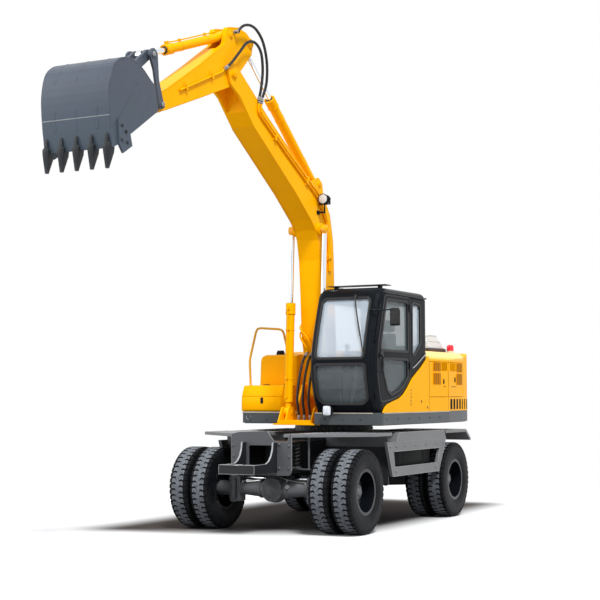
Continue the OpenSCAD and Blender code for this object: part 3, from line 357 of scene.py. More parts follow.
carcass_profile = [(bead_radius, -0.098), (bead_radius + 0.022, -0.1115), (bead_radius + 0.030, -0.1125),
                   (bead_radius + 0.036, -0.119), (0.330, -0.1235), (0.352, -0.1285), (0.385, -half),
                   (0.415, -half), (0.436, -0.1275), (0.462, -0.1255), (0.478, -0.121),
                   (tread_floor - 0.004, -0.110), (tread_floor, -0.095), (tread_floor, -0.028),
                   (tyre_radius, -0.022), (tyre_radius, 0.022), (tread_floor, 0.028),
                   (tread_floor, 0.095), (tread_floor - 0.004, 0.110), (0.478, 0.121), (0.462, 0.1255),
                   (0.436, 0.1275), (0.415, half), (0.385, half), (0.352, 0.1285), (0.330, 0.1235),
                   (bead_radius + 0.036, 0.119), (bead_radius + 0.030, 0.1125),
                   (bead_radius + 0.022, 0.1115), (bead_radius, 0.098)]


def tread_block(side, turn):
    """One lug: from the middle rib out to the shoulder and down its side, narrower at the foot"""
    pitch = 2 * math.pi / pitches
    rows = [(-0.004, tyre_radius, 0.45, 0.00), (0.020, tyre_radius, 0.37, 0.08),
            (0.050, tyre_radius, 0.34, -0.10), (0.080, tyre_radius, 0.35, 0.06),
            (0.106, tyre_radius - 0.003, 0.35, -0.02), (0.120, tyre_radius - 0.014, 0.34, 0.0),
            (0.1285, 0.474, 0.28, 0.0), (0.1290, 0.452, 0.20, 0.0)]
    lug = blank("lug")
    mesh = bmesh.from_edit_mesh(lug.data)
    rail = []
    for across, radius, wide, lean in rows:
        angles = [turn + pitch * (lean + end * wide) for end in (-1, 1)]
        rail.append([mesh.verts.new((radius * math.sin(angle), across * side, radius * math.cos(angle)))
                     for angle in angles])
    for near, far in zip(rail, rail[1:]):
        mesh.faces.new((near[0], near[1], far[1], far[0]))
    bmesh.update_edit_mesh(lug.data)
    bpy.ops.mesh.select_all(action="SELECT")
    bpy.ops.mesh.extrude_region()
    mesh = bmesh.from_edit_mesh(lug.data)
    for point in mesh.verts:
        if point.select:
            across = point.co.y
            radius = math.hypot(point.co.x, point.co.z)
            share = (radius - (0.018 if abs(across) < 0.115 else 0.010)) / radius
            point.co.x *= share
            point.co.z *= share
            if abs(across) > 0.12:
                point.co.y = across - 0.006 * side
    bmesh.update_edit_mesh(lug.data)
    bpy.ops.mesh.select_all(action="SELECT")
    bpy.ops.mesh.normals_make_consistent(inside=False)
    bpy.ops.mesh.spin(steps=pitches, angle=2 * math.pi, center=(0, 0, 0), axis=(0, 1, 0), dupli=True)
    bpy.ops.mesh.select_all(action="SELECT")
    bpy.ops.mesh.remove_doubles(threshold=0.00001)
    bpy.ops.object.mode_set(mode="OBJECT")
    return lug


tyre_side = Finish("tyre_side", Roughness=0.45, Specular_IOR_Level=0.06)
grime = tyre_side.noise(7.0, 5, 0.65).between(0.35, 0.75)
tyre_side.set(Base_Color=tyre_side.mix(grime * 0.45, (0.0050, 0.0055, 0.0070), (0.022, 0.022, 0.023)))
tyre_side.bump(tyre_side.noise(160.0, 2, 0.5), 0.0004)
# The lugs' tops are a light blue-grey: worn rubber, with a painted sheen of the sky on it
tread_wear_and_sheen = Finish("tread_wear_and_sheen", Roughness=0.66, Specular_IOR_Level=0.12)
scuff_and_sheen = tread_wear_and_sheen.noise(34.0, 5, 0.7).between(0.30, 0.70)
tread_wear_and_sheen.set(Base_Color=tread_wear_and_sheen.mix(scuff_and_sheen, (0.070, 0.077, 0.089), (0.175, 0.188, 0.208)))
tread_wear_and_sheen.bump(tread_wear_and_sheen.noise(220.0, 2, 0.5), 0.0006)
rim_black = sprayed("rim_black", (0.004, 0.005, 0.007), gloss=0.22, dust=0.0, edge=0.5,
                    edge_colour=(0.07, 0.08, 0.09), dust_colour=(0.12, 0.115, 0.105))
wear(["rims_front_left", "rims_front_right", "rims_rear_left", "rims_rear_right"], rim_black)
wear(["tyres_front_left", "tyres_front_right", "tyres_rear_left", "tyres_rear_right"], tyre_side)

model_tyre = turned("model_tyre", carcass_profile, 88)
lugs = [tread_block(1, 0.0), tread_block(-1, math.pi / pitches)]
only(model_tyre)
for lug in lugs:
    lug.select_set(True)
bpy.ops.object.join()
model_tyre.data.materials.append(tyre_side.material)
model_tyre.data.materials.append(tread_wear_and_sheen.material)
reach = [math.hypot(point.co.x, point.co.z) for point in model_tyre.data.vertices]
for face in model_tyre.data.polygons:
    outer = all(reach[i] > tyre_radius - 0.0025 for i in face.vertices)
    face.material_index = 1 if outer else 0
bpy.ops.object.shade_smooth_by_angle(angle=math.radians(30))
twins = [(axle_x, track_y, "front_left"), (axle_x, -track_y, "front_right"),
         (-axle_x, track_y, "rear_left"), (-axle_x, -track_y, "rear_right")]
for order, (axle, track, corner) in enumerate(twins):
    for inner in (0, 1):
        only(model_tyre)
        bpy.ops.object.duplicate()
        tyre = bpy.context.object
        tyre.name = f"tyre_{corner}_{'inner' if inner else 'outer'}"
        tyre.data.name = tyre.name
        tyre.rotation_euler = (0, 0.3 + 0.71 * order + 0.37 * inner, 0)
        towards_left = (track > 0) != bool(inner)
        tyre.location = at(axle, track + (twin_offset if towards_left else -twin_offset), tyre_radius)
        bpy.ops.object.transform_apply(location=True, rotation=True, scale=True)
        if not inner:
            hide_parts("tyres_" + corner)
        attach(tyre, "wheel_" + corner)
bpy.data.objects.remove(model_tyre)

# Hub caps, wheel nuts and valves: a cast cover on the hub's end, ten nuts with round clamps that press
# the rim against the hub, and a bent brass valve that comes out through the dish.
hub_grey = sprayed("hub_grey", (0.11, 0.115, 0.125), gloss=0.42, dust=0.35, edge=0.7)
zinc = sprayed("zinc_bolts", (0.30, 0.30, 0.29), gloss=0.38, dust=0.25, edge=0.4)


def reopen(piece):
    """Opens a finished mesh again, so that more can be added to it"""
    only(piece)
    bpy.ops.object.mode_set(mode="EDIT")


def settle(piece, body, finish, stands_for=(), smooth=38):
    """Outward faces, soft shading, its paint, and the body that carries it"""
    reopen(piece)
    bpy.ops.mesh.select_all(action="SELECT")
    bpy.ops.mesh.normals_make_consistent(inside=False)
    only(piece)
    bpy.ops.object.shade_smooth_by_angle(angle=math.radians(smooth))
    if not piece.data.materials:
        piece.data.materials.append(finish.material)
    piece.data.name = piece.name
    if stands_for:
        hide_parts(*stands_for)
    if body:
        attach(piece, body)
    return piece


def peg(middle, radius, length, sides, turn=(0, 0, 0)):
    """A round bar or disc about its middle, added to the mesh that is open for editing"""
    bpy.ops.mesh.primitive_cylinder_add(vertices=sides, radius=radius, depth=length, location=middle,
                                        rotation=turn)


def hexagon(place, direction, radius, height):
    """A hexagon head with its washer, added to the mesh that is open for editing"""
    way = Vector(direction).normalized()
    spin = way.to_track_quat("Z", "Y").to_euler()
    place = Vector(place)
    peg(place + way * height * 0.11, radius * 1.3, height * 0.22, 16, spin)
    peg(place + way * height * 0.57, radius, height * 0.7, 6, spin)
    bpy.ops.mesh.primitive_cone_add(vertices=6, radius1=radius, radius2=radius * 0.84,
                                    depth=height * 0.12, location=place + way * height * 0.98,
                                    rotation=spin)


cap_circle, nut_circle = 0.068, 0.139
cap_profile = [(0.0, 0.186), (0.030, 0.185), (0.046, 0.182), (0.050, 0.176), (0.054, 0.168),
               (0.078, 0.166), (0.086, 0.162), (0.090, 0.152), (0.091, 0.110), (0.094, 0.101),
               (0.097, 0.096), (0.097, 0.089)]
for axle, track, corner in twins:
    sign = 1 if track > 0 else -1
    cap = turned("hub_cap_" + corner, [(radius, across * sign) for radius, across in cap_profile], 40)
    reopen(cap)
    for k in range(6):
        angle = k * math.pi / 3 + 0.2
        spot = (cap_circle * math.cos(angle), 0.1665 * sign, cap_circle * math.sin(angle))
        hexagon(spot, (0, sign, 0), 0.0075, 0.008)
    only(cap)
    cap.location = at(axle, track, tyre_radius)
    bpy.ops.object.transform_apply(location=True)
    settle(cap, "wheel_" + corner, hub_grey)
    nuts = blank("wheel_nuts_" + corner)
    for k in range(10):
        angle = k * math.pi / 5
        spot = (nut_circle * math.cos(angle), 0.030 * sign, nut_circle * math.sin(angle))
        hexagon(spot, (0, sign, 0), 0.017, 0.026)
    peg((0.205, 0.10 * sign, 0.02), 0.006, 0.10, 12, (math.radians(80), 0, 0.3))
    only(nuts)
    nuts.location = at(axle, track, tyre_radius)
    bpy.ops.object.transform_apply(location=True)
    settle(nuts, "wheel_" + corner, zinc)

# House: sheet-metal hood, doors and tank, pressed and welded, then sprayed in a deep orange-yellow with
# a low sheen; the counterweight is cast. The bonnet's top is painted paler as a painted highlight, and the
# deck's lower rim dark as painted shade.
yellow, rubbed_yellow, highlight_yellow = (0.97, 0.43, 0.0), (1.0, 0.56, 0.04), (1.0, 0.66, 0.24)
house_coat = dict(gloss=0.30, dust=0.02, edge=0.14, grain=0.4, shine=0.03, mottle=0.35)
body_yellow = sprayed("body_yellow", yellow, edge_colour=rubbed_yellow, **house_coat)
wear(["counterweight", "side_panel", "hood_door_front", "hood_door_rear", "hood_door_right",
      "fuel_tank", "tool_box", "boom", "boom_pipes", "boom_barrels", "arm_barrel", "arm",
      "arm_pipes", "bucket_barrel"], body_yellow)
hood_yellow = sprayed("hood_yellow", yellow, edge_colour=rubbed_yellow, **house_coat)
# The bonnet's top is painted a paler yellow: a painted highlight where the light falls on it
hood_lit_top = hood_yellow.part("Z").between(2.13, 2.21)
hood_yellow.set(Base_Color=hood_yellow.mix(hood_lit_top, hood_yellow.colour(), highlight_yellow))
wear(["hood"], hood_yellow)
deck_yellow = sprayed("deck_yellow", yellow, **house_coat)
# Below 1.445 m, away from the middle, the deck turns near-black: painted shade under the house
deck_shaded_underside = (deck_yellow.part("Z") < 1.445) * (abs(deck_yellow.part("Y") + 0.119) > 0.37)
deck_yellow.set(Base_Color=deck_yellow.mix(deck_shaded_underside, deck_yellow.colour(), (0.012, 0.013, 0.015)))
wear(["deck"], deck_yellow)
tan_tube = sprayed("tan_tube", (0.80, 0.42, 0.03), gloss=0.35, dust=0.03, edge=0.1, shine=0.15)
wear(["handrail"], tan_tube)
skirt_grey = sprayed("skirt_grey", (0.054, 0.062, 0.068), gloss=0.36, dust=0.05, edge=0.3, shine=0.30)
wear(["skirt"], skirt_grey)
black_gap = Finish("black_gap", Base_Color=(0.006, 0.006, 0.007), Roughness=0.7, Specular_IOR_Level=0.2)
# deep_yellow: the folded seams' own deeper yellow, and the painted shade inside the louvre slots
deep_yellow = Finish("deep_yellow", Base_Color=(0.36, 0.135, 0.0), Roughness=0.5, Specular_IOR_Level=0.1)
house_left, house_right = 1.220, -1.200
bend_near, bend_far = -1.3, -1.9


def side_y(x, edge=house_left, tail=0.045):
    """The house's side comes in towards its tail, a little at first and then more"""
    if x > bend_near:
        run = 0
    elif x > bend_far:
        run = (bend_near - x) / 0.6
    else:
        run = 1 + (bend_far - x) / 0.45
    return edge - math.copysign(tail * run, edge)


def soften(piece, width, segments=2, angle=35):
    """Rounds the sharp edges and keeps the faces flat"""
    only(piece)
    modifier = piece.modifiers.new("soften", "BEVEL")
    modifier.width, modifier.segments = width, segments
    modifier.limit_method, modifier.angle_limit = "ANGLE", math.radians(angle)
    modifier.harden_normals = False
    bpy.ops.object.modifier_apply(modifier="soften")


def cut_plate(name, corners, push, round_edges=0.0):
    """A plate from its corner points and the way it is thick"""
    piece = blank(name)
    mesh = bmesh.from_edit_mesh(piece.data)
    mesh.faces.new([mesh.verts.new(corner) for corner in corners])
    bmesh.update_edit_mesh(piece.data)
    bpy.ops.mesh.select_all(action="SELECT")
    bpy.ops.mesh.extrude_region_move(TRANSFORM_OT_translate={"value": push})
    bpy.ops.mesh.select_all(action="SELECT")
    bpy.ops.mesh.normals_make_consistent(inside=False)
    bpy.ops.object.mode_set(mode="OBJECT")
    if round_edges:
        soften(piece, round_edges)
    return piece


def pipe(name, route, radius, rounds=3):
    """A bent tube: a curve through its points, given a round section"""
    bpy.ops.object.select_all(action="DESELECT")
    bpy.ops.curve.primitive_nurbs_path_add()
    line = bpy.context.object
    line.name = name
    line.data.splines.clear()
    run = line.data.splines.new("NURBS")
    run.points.add(len(route) - 1)
    for point, place in zip(run.points, route):
        point.co = (*place, 1)
    run.use_endpoint_u = True
    run.order_u = min(3, len(route))
    line.data.resolution_u = 5
    run.resolution_u = 5
    line.data.bevel_depth = radius
    line.data.bevel_resolution = rounds
    line.data.use_fill_caps = True
    bpy.ops.object.convert(target="MESH")
    return bpy.context.object


def slab(middle, size, turn=(0, 0, 0)):
    """A block about its middle, added to the mesh that is open for editing"""
    bpy.ops.mesh.primitive_cube_add(size=1, location=middle, scale=size, rotation=turn)


def brick(low, high):
    """A block between two corners, added to the mesh that is open for editing"""
    low, high = Vector(low), Vector(high)
    slab((low + high) / 2, high - low)


# Louvres of the engine doors: rows of upright slots, each a thin deep orange strip on the sheet that is
# painted shade inside it, with a narrow lip bent outwards beside it, and a group of much finer slots on both
# left doors; the lips are sprayed with the door.
fine, coarse = 0.015, 0.068
louvre_rows = {
    "hood_door_front": [(-1.235, -1.015, 2.004, 2.108, fine), (-1.005, -0.665, 1.990, 2.108, coarse),
                        (-1.005, -0.665, 1.812, 1.965, coarse)],
    "hood_door_rear": [(-1.600, -1.345, 2.004, 2.108, fine), (-1.925, -1.615, 1.990, 2.108, coarse),
                       (-1.925, -1.615, 1.812, 1.965, coarse)],
    "hood_door_right": [(-1.420, -0.720, 2.004, 2.108, coarse), (-1.420, -0.720, 1.812, 1.950, coarse)]}
for door, groups in louvre_rows.items():
    edge = house_right if door.endswith("right") else house_left
    sign = math.copysign(1, edge)
    back = blank(door + "_slots")
    for x0, x1, z0, z1, pitch in groups:
        for k in range(int((x1 - x0) / pitch)):
            x = x0 + pitch * (k + 0.5)
            brick(at(x - pitch * 0.34, side_y(x, edge) - 0.001 * sign, z0),
                  at(x + pitch * 0.34, side_y(x, edge) + 0.0015 * sign, z1))
    settle(back, door, deep_yellow)
    lips = blank(door + "_louvres")
    for x0, x1, z0, z1, pitch in groups:
        for k in range(int((x1 - x0) / pitch)):
            x = x0 + pitch * (k + 1.0)
            slab(at(x, side_y(x, edge) + 0.004 * sign, (z0 + z1) / 2),
                 (pitch * 0.34, 0.003, z1 - z0 + 0.006), (0, 0, math.radians(20)))
    settle(lips, door, body_yellow)

# Slam latches of the engine doors: a black pressed dish with a flush handle and a round key lock, let
# into the sheet near each door's opening edge.
crosswise = (math.radians(90), 0, 0)
latch_places = (("hood_door_front", -1.093, 1.852, house_left),
                ("hood_door_rear", -1.560, 1.880, house_left),
                ("hood_door_right", -0.690, 1.760, house_right))
dish = ((-1, -0.8), (-0.7, -1), (0.7, -1), (1, -0.8), (1, 0.8), (0.7, 1), (-0.7, 1), (-1, 0.8))
dish_half_width, dish_half_height = 0.013, 0.034
for door, x, z, edge in latch_places:
    sign = math.copysign(1, edge)
    mid = side_y(x, edge)
    rim = [at(x + dish_half_width * a, mid - 0.001 * sign, z + dish_half_height * b) for a, b in dish]
    latch = cut_plate("latch_" + door, rim, (0, 0.008 * sign, 0), 0.0015)
    reopen(latch)
    brick(at(x - 0.007, mid + 0.004 * sign, z - 0.024), at(x + 0.007, mid + 0.013 * sign, z + 0.008))
    peg(at(x, mid + 0.009 * sign, z + 0.020), 0.006, 0.010, 14, crosswise)
    settle(latch, door, black_gap)

# Slots and holes in the lower hood: seven upright slots that narrow towards the tail, two round holes
# under the cab and rows of short slots, drawn as thin black pieces on the sheet: painted shade where
# the dark behind the holes would show.
slots = blank("hood_slots")
for k, x in enumerate((-1.392, -1.530, -1.668, -1.800, -1.925, -2.045, -2.155)):
    wide = 0.086 - 0.0068 * k
    lean = 0.075 if x > bend_far else 0.2
    for cut, high in ((0.0, 0.134), (0.008, 0.142)):
        slab(at(x, side_y(x), 1.5425), (wide - cut, 0.004, high), (0, 0, lean))
for x, z in ((-0.313, 1.584), (-0.520, 1.503)):
    peg(at(x, house_left, z), 0.016, 0.004, 20, crosswise)
for k in range(5):
    brick(at(0.028, house_left - 0.001, 1.535 + 0.046 * k),
          at(0.044, house_left + 0.002, 1.563 + 0.046 * k))
for x in (-1.115, -1.150, -1.420, -1.470, -1.520, -1.570):
    brick(at(x - 0.013, side_y(x) - 0.001, 1.778), at(x + 0.013, side_y(x) + 0.0025, 1.788))
settle(slots, "house", black_gap)

# Seams of the hood: folded joints between the bonnet top, the side sheets and the counterweight, seen as
# lines of a deeper yellow; on the bonnet a raised pressed panel and two bent handles on screwed round
# feet.
def hand(side):
    """The name of the side that a sign or a Y stands for"""
    return "left" if side > 0 else "right"


seams = blank("hood_seams")
for x in (-0.586, -1.272):
    brick(at(x - 0.003, side_y(x) - 0.001, 1.46), at(x + 0.003, side_y(x) + 0.0015, 2.140))
brick(at(-1.976, -1.05, 2.2605), at(-1.972, 1.05, 2.2615))
settle(seams, "house", deep_yellow)
bonnet_corners = ((-1.90, -0.98), (-0.66, -0.98), (-0.62, -0.94), (-0.62, 0.62),
                  (-0.66, 0.66), (-1.90, 0.66), (-1.94, 0.62), (-1.94, -0.94))
bonnet = cut_plate("bonnet_lid", [at(x, y, 2.259) for x, y in bonnet_corners], (0, 0, 0.018), 0.008)
settle(bonnet, "house", hood_yellow)
grip_line = ((-1.30, 2.272), (-1.30, 2.330), (-1.26, 2.340), (-1.10, 2.340), (-1.06, 2.330),
             (-1.06, 2.272))
for y in (-0.80, 0.45):
    bar = pipe("bonnet_grip_" + hand(y), [at(x, y, z) for x, z in grip_line], 0.009)
    reopen(bar)
    for x in (-1.30, -1.06):
        peg(at(x, y, 2.279), 0.022, 0.006, 20)
        hexagon(at(x, y + 0.03, 2.276), (0, 0, 1), 0.007, 0.006)
    settle(bar, "house", black_gap)

# Counterweight fittings: two lifting eyes cast into its top, red tail lamps in black cases, and the
# zinc-plated bolts that clamp it to the deck from behind.
for y in (-0.55, 0.55):
    arch = [(0.075 * math.cos(math.pi * k / 14), 0.105 * math.sin(math.pi * k / 14)) for k in range(15)]
    eye = cut_plate("lifting_eye_" + hand(y), [at(-2.21 + u, y - 0.015, 2.25 + v) for u, v in arch],
                    (0, 0.03, 0), 0.004)
    only(eye)
    peg(at(-2.21, y, 2.300), 0.030, 0.2, 28, crosswise)
    cutter = bpy.context.object
    only(eye)
    hole = eye.modifiers.new("hole", "BOOLEAN")
    hole.operation, hole.object, hole.solver = "DIFFERENCE", cutter, "EXACT"
    bpy.ops.object.modifier_apply(modifier="hole")
    bpy.data.objects.remove(cutter)
    settle(eye, "house", body_yellow)
tail_red = Finish("tail_red", Base_Color=(0.45, 0.006, 0.008), Roughness=0.15, Coat_Weight=0.6)
tail_lamp_parts = (("tail_lamp_case_", -2.357, -2.343, 0.075, 1.530, 1.700, black_gap, "dark_paint"),
                   ("tail_lamp_lens_", -2.364, -2.350, 0.062, 1.545, 1.685, tail_red, "red_plastic"))
for y in (-0.965, 0.965):
    for name, x0, x1, half_wide, z0, z1, finish, kind in tail_lamp_parts:
        lens = blank(name + hand(y))
        brick(at(x0, y - half_wide, z0), at(x1, y + half_wide, z1))
        soften(lens, 0.006, 3)
        settle(lens, "house", finish)
clamps = blank("counterweight_bolts")
for y in (-0.60, -0.2, 0.2, 0.60):
    hexagon(at(-2.350, y, 1.60), (-1, 0, 0), 0.030, 0.012)
settle(clamps, "house", zinc)

# Intake guard: bars of flat steel welded into a sloping cage over the cooling air's way in and left
# bright; it stands on a dark folded strip, with the thin exhaust pipe beside it.
guard_x, guard_y, guard_z = (-1.810, -1.240), (0.730, 0.930), 2.319
bright = sprayed("bright_steel", (0.86, 0.875, 0.89), gloss=0.36, dust=0.05, edge=0.2)
bright.set(Metallic=0.35)
guard_dark = sprayed("guard_dark", (0.060, 0.040, 0.034), gloss=0.6, dust=0.1)
cage = blank("intake_cage")
for k in range(15):
    x = guard_x[0] + (guard_x[1] - guard_x[0]) * k / 14
    rise = 0.180 * min(1, 0.08 + (x - guard_x[0]) / 0.30)
    for y, out in ((guard_y[1], 1), (guard_y[0], -1)):
        brick(at(x - 0.009, y - 0.004 + 0.006 * out, guard_z),
              at(x + 0.009, y + 0.004 + 0.006 * out, guard_z + rise))
    brick(at(x - 0.006, guard_y[0], guard_z + rise - 0.008),
          at(x + 0.006, guard_y[1], guard_z + rise + 0.002))
for z in (0.005, 0.090, 0.168):
    start = guard_x[0] + 0.30 * max(0, z / 0.180 - 0.08)
    for y in (guard_y[0] - 0.010, guard_y[1] + 0.002):
        brick(at(start, y, guard_z + z), at(guard_x[1], y + 0.008, guard_z + z + 0.010))
    brick(at(guard_x[1] + 0.002, guard_y[0], guard_z + z),
          at(guard_x[1] + 0.010, guard_y[1], guard_z + z + 0.010))
for y in (0.78, 0.83, 0.88):
    brick(at(guard_x[0] + 0.28, y - 0.005, guard_z + 0.174), at(guard_x[1], y + 0.005, guard_z + 0.183))
settle(cage, "house", bright, stands_for=("intake_guard",))
curb = blank("intake_curb")
for low, high in (((-1.840, 0.700), (-1.210, 0.730)), ((-1.840, 0.930), (-1.210, 0.960)),
                  ((-1.840, 0.725), (-1.810, 0.935)), ((-1.240, 0.725), (-1.210, 0.935)),
                  ((-1.290, 0.790), (-1.210, 0.870))):
    brick(at(*low, 2.2603), at(*high, 2.320))
soften(curb, 0.003, 1)
settle(curb, "house", guard_dark)


def stand(piece, place):
    """Turns a turned piece upright and moves it to its place"""
    only(piece)
    bpy.ops.transform.rotate(value=math.radians(-90), orient_axis="X", center_override=(0, 0, 0))
    bpy.ops.object.transform_apply(rotation=True)
    piece.location = place
    bpy.ops.object.transform_apply(location=True)


stack_profile = [(0.028, 0.0), (0.031, 0.0), (0.031, 0.20), (0.034, 0.205), (0.034, 0.225), (0.031, 0.23),
                 (0.031, 0.335), (0.027, 0.336), (0.027, 0.25)]
stack = turned("exhaust_stack", stack_profile, 32)
stand(stack, at(-1.250, 0.830, 2.494))
settle(stack, "house", bright)

# Beacon: a ribbed red dome of clear plastic, screwed on to a foot of cream plastic that stands on the
# bonnet; the foot's wide rim covers its gasket.
dome_red = Finish("dome_red", Base_Color=(0.80, 0.006, 0.018), Roughness=0.10, Coat_Weight=0.5)
cream = sprayed("cream_plastic", (0.72, 0.62, 0.45), gloss=0.35, dust=0.1, edge=0.1)
beacon_place = at(-1.905, 1.000, 2.2603)
foot_profile = [(0.0, 0.034), (0.048, 0.034), (0.052, 0.030), (0.052, 0.012), (0.062, 0.010),
                (0.062, 0.0), (0.0, 0.0)]
foot = turned("beacon_foot", foot_profile, 40)
stand(foot, beacon_place)
settle(foot, "house", cream, stands_for=("beacon",))
dome_profile = [(0.049, 0.0335), (0.051, 0.040), (0.050, 0.046), (0.0515, 0.052), (0.050, 0.058),
                (0.0515, 0.066), (0.050, 0.072), (0.0515, 0.080), (0.050, 0.094), (0.046, 0.106),
                (0.037, 0.116), (0.020, 0.122), (0.0, 0.124)]
dome = turned("beacon_dome", dome_profile, 40)
stand(dome, beacon_place)
settle(dome, "house", dome_red)

# Tank and tool box: the tank's cap is a black casting with a key flap; the tool box has a folded lid on
# two hinges, a latch in front, and bars pressed into its top so that a foot doesn't slip.
tank_cap_profile = [(0.0, 0.048), (0.030, 0.047), (0.050, 0.044), (0.056, 0.036), (0.056, 0.010),
                    (0.062, 0.008), (0.062, -0.004), (0.050, -0.006)]
cap = turned("tank_cap", tank_cap_profile, 36)
stand(cap, at(-0.430, -0.950, 2.233))
reopen(cap)
brick(at(-0.445, -0.995, 2.278), at(-0.415, -0.905, 2.292))
settle(cap, "house", black_gap)
lid_corners = ((-0.214, 1.7905), (0.126, 1.7905), (0.150, 1.778), (0.218, 1.660), (0.228, 1.655),
               (0.166, 1.792), (0.140, 1.802), (-0.214, 1.802))
lid = cut_plate("tool_box_lid", [at(x, -1.196, z) for x, z in lid_corners], (0, 0.612, 0), 0.003)
settle(lid, "house", body_yellow)
lid_bits = blank("tool_box_latch")
for y in (-1.05, -0.73):
    peg(at(-0.205, y, 1.808), 0.011, 0.09, 14, crosswise)
peg(at(0.186, -0.814, 1.726), 0.017, 0.012, 20, (0, math.radians(62), 0))
brick(at(0.224, -0.900, 1.560), at(0.236, -0.860, 1.640))
settle(lid_bits, "house", black_gap)
step_pads = blank("tool_box_grip_pads")
for row in range(4):
    for column in range(9):
        angle = math.radians(45 if (row + column) % 2 else -45)
        slab(at(-0.16 + 0.07 * row, -1.13 + 0.06 * column, 1.8035), (0.034, 0.010, 0.004), (0, 0, angle))
settle(step_pads, "house", body_yellow)

# Skirt trim: a folded upper lip of lighter grey, the screws that hold the sheets to the deck, and a small
# marker lamp of clear plastic at the right front.
lip = blank("skirt_lip")
brick(at(0.2325, -1.185, 1.432), at(0.2405, -0.310, 1.4485))
brick(at(-1.29, 1.2185, 1.438), at(0.885, 1.2245, 1.4485))
brick(at(0.9885, 0.310, 1.438), at(0.9945, 1.115, 1.4485))
lip_grey = sprayed("lip_grey", (0.50, 0.46, 0.36), gloss=0.45, dust=0.1)
settle(lip, "house", lip_grey)
screws = blank("skirt_screws")
for k in range(6):
    hexagon(at(0.80 - 0.35 * k, house_left, 1.370), (0, 1, 0), 0.010, 0.008)
for k in range(4):
    hexagon(at(0.10 - 0.35 * k, house_right, 1.370), (0, -1, 0), 0.010, 0.008)
for y in (0.45, 0.70, 0.95):
    hexagon(at(0.990, y, 1.370), (1, 0, 0), 0.010, 0.008)
for y in (-1.05, -0.80, -0.62):
    hexagon(at(0.235, y, 1.340), (1, 0, 0), 0.010, 0.008)
settle(screws, "house", skirt_grey)
marker = turned("marker_lamp", [(0.0, 0.016), (0.020, 0.015), (0.030, 0.010), (0.034, 0.0),
                                (0.034, -0.004)], 28)
only(marker)
bpy.ops.transform.rotate(value=math.radians(90), orient_axis="Z", center_override=(0, 0, 0))
bpy.ops.object.transform_apply(rotation=True)
marker.rotation_euler = (0, 0, math.radians(180))
marker.location = at(0.2365, -1.082, 1.375)
bpy.ops.object.transform_apply(location=True, rotation=True)
lens_white = Finish("lens_white", Base_Color=(0.80, 0.83, 0.86), Roughness=0.12, Coat_Weight=0.5)
settle(marker, "house", lens_white)

# Cab: welded frame sprayed near-black with a gloss, glazed with tinted safety glass; its front bulges
# forward at the driver's knees and leans back above.
# The near-black has a faint blue in it, and the edges turn a light blue-grey: a painted sheen and painted
# edge highlights
cab_black = sprayed("cab_black", (0.0068, 0.0084, 0.0108), gloss=0.22, dust=0.0, edge=0.70,
                    edge_colour=(0.15, 0.18, 0.205), dust_colour=(0.06, 0.06, 0.06), shine=0.03)
cab_black.set(Coat_Weight=0.05, Coat_Roughness=0.05)
wear(["cab_shell", "cab_door", "side_mirror"], cab_black)
pane = Finish("tinted_glass", Roughness=0.02, Alpha=0.28, Specular_IOR_Level=0.40)
# The panes turn pale blue-white towards the top: a painted reflection of the bright sky, weaker on the
# door's panes
painted_glare = pane.part("Z").between(2.02, 2.20)
pane.set(Base_Color=pane.mix(painted_glare, (0.21, 0.25, 0.265), (0.66, 0.76, 0.86)), Alpha=painted_glare * 0.08 + 0.26)
wear(["cab_glass"], pane)
door_pane = Finish("door_tinted_glass", Roughness=0.02, Alpha=0.42, Specular_IOR_Level=0.40)
door_painted_glare = door_pane.part("Z").between(2.02, 2.20)
door_pane.set(Base_Color=door_pane.mix(door_painted_glare, (0.12, 0.15, 0.16), (0.22, 0.27, 0.28)))
wear(["door_glass"], door_pane)
rubber = Finish("black_rubber", Base_Color=(0.010, 0.010, 0.011), Roughness=0.5, Specular_IOR_Level=0.35)
rubber.bump(rubber.noise(300.0, 2, 0.5), 0.0002)
cab_front = 0.990
cab_bulge = [(1.45, -0.030), (1.52, 0.025), (1.62, 0.072), (1.74, 0.112), (1.86, 0.143), (1.99, 0.160),
             (2.11, 0.158), (2.24, 0.138), (2.48, 0.072), (2.74, -0.015), (2.90, -0.075), (3.02, -0.125)]


def face_x(z):
    """How far forward the cab's front is at a height"""
    for (low, near), (high, far) in zip(cab_bulge, cab_bulge[1:]):
        if z <= high:
            return cab_front + near + (far - near) * (z - low) / (high - low)
    return cab_front + cab_bulge[-1][1]


def loop(corners, steps=5):
    """A closed line whose corners (u, v, radius) turn in arcs"""
    line = []
    for k, (u, v, radius) in enumerate(corners):
        here = Vector((u, v))
        before = (Vector(corners[k - 1][:2]) - here).normalized()
        after = (Vector(corners[(k + 1) % len(corners)][:2]) - here).normalized()
        corner = math.acos(max(-1, min(1, before.dot(after)))) / 2
        reach = radius / math.tan(corner)
        middle = here + (before + after).normalized() * radius / math.sin(corner)
        first, last = here + before * reach - middle, here + after * reach - middle
        for step in range(steps + 1):
            line.append(middle + first.lerp(last, step / steps).normalized() * radius)
    return line


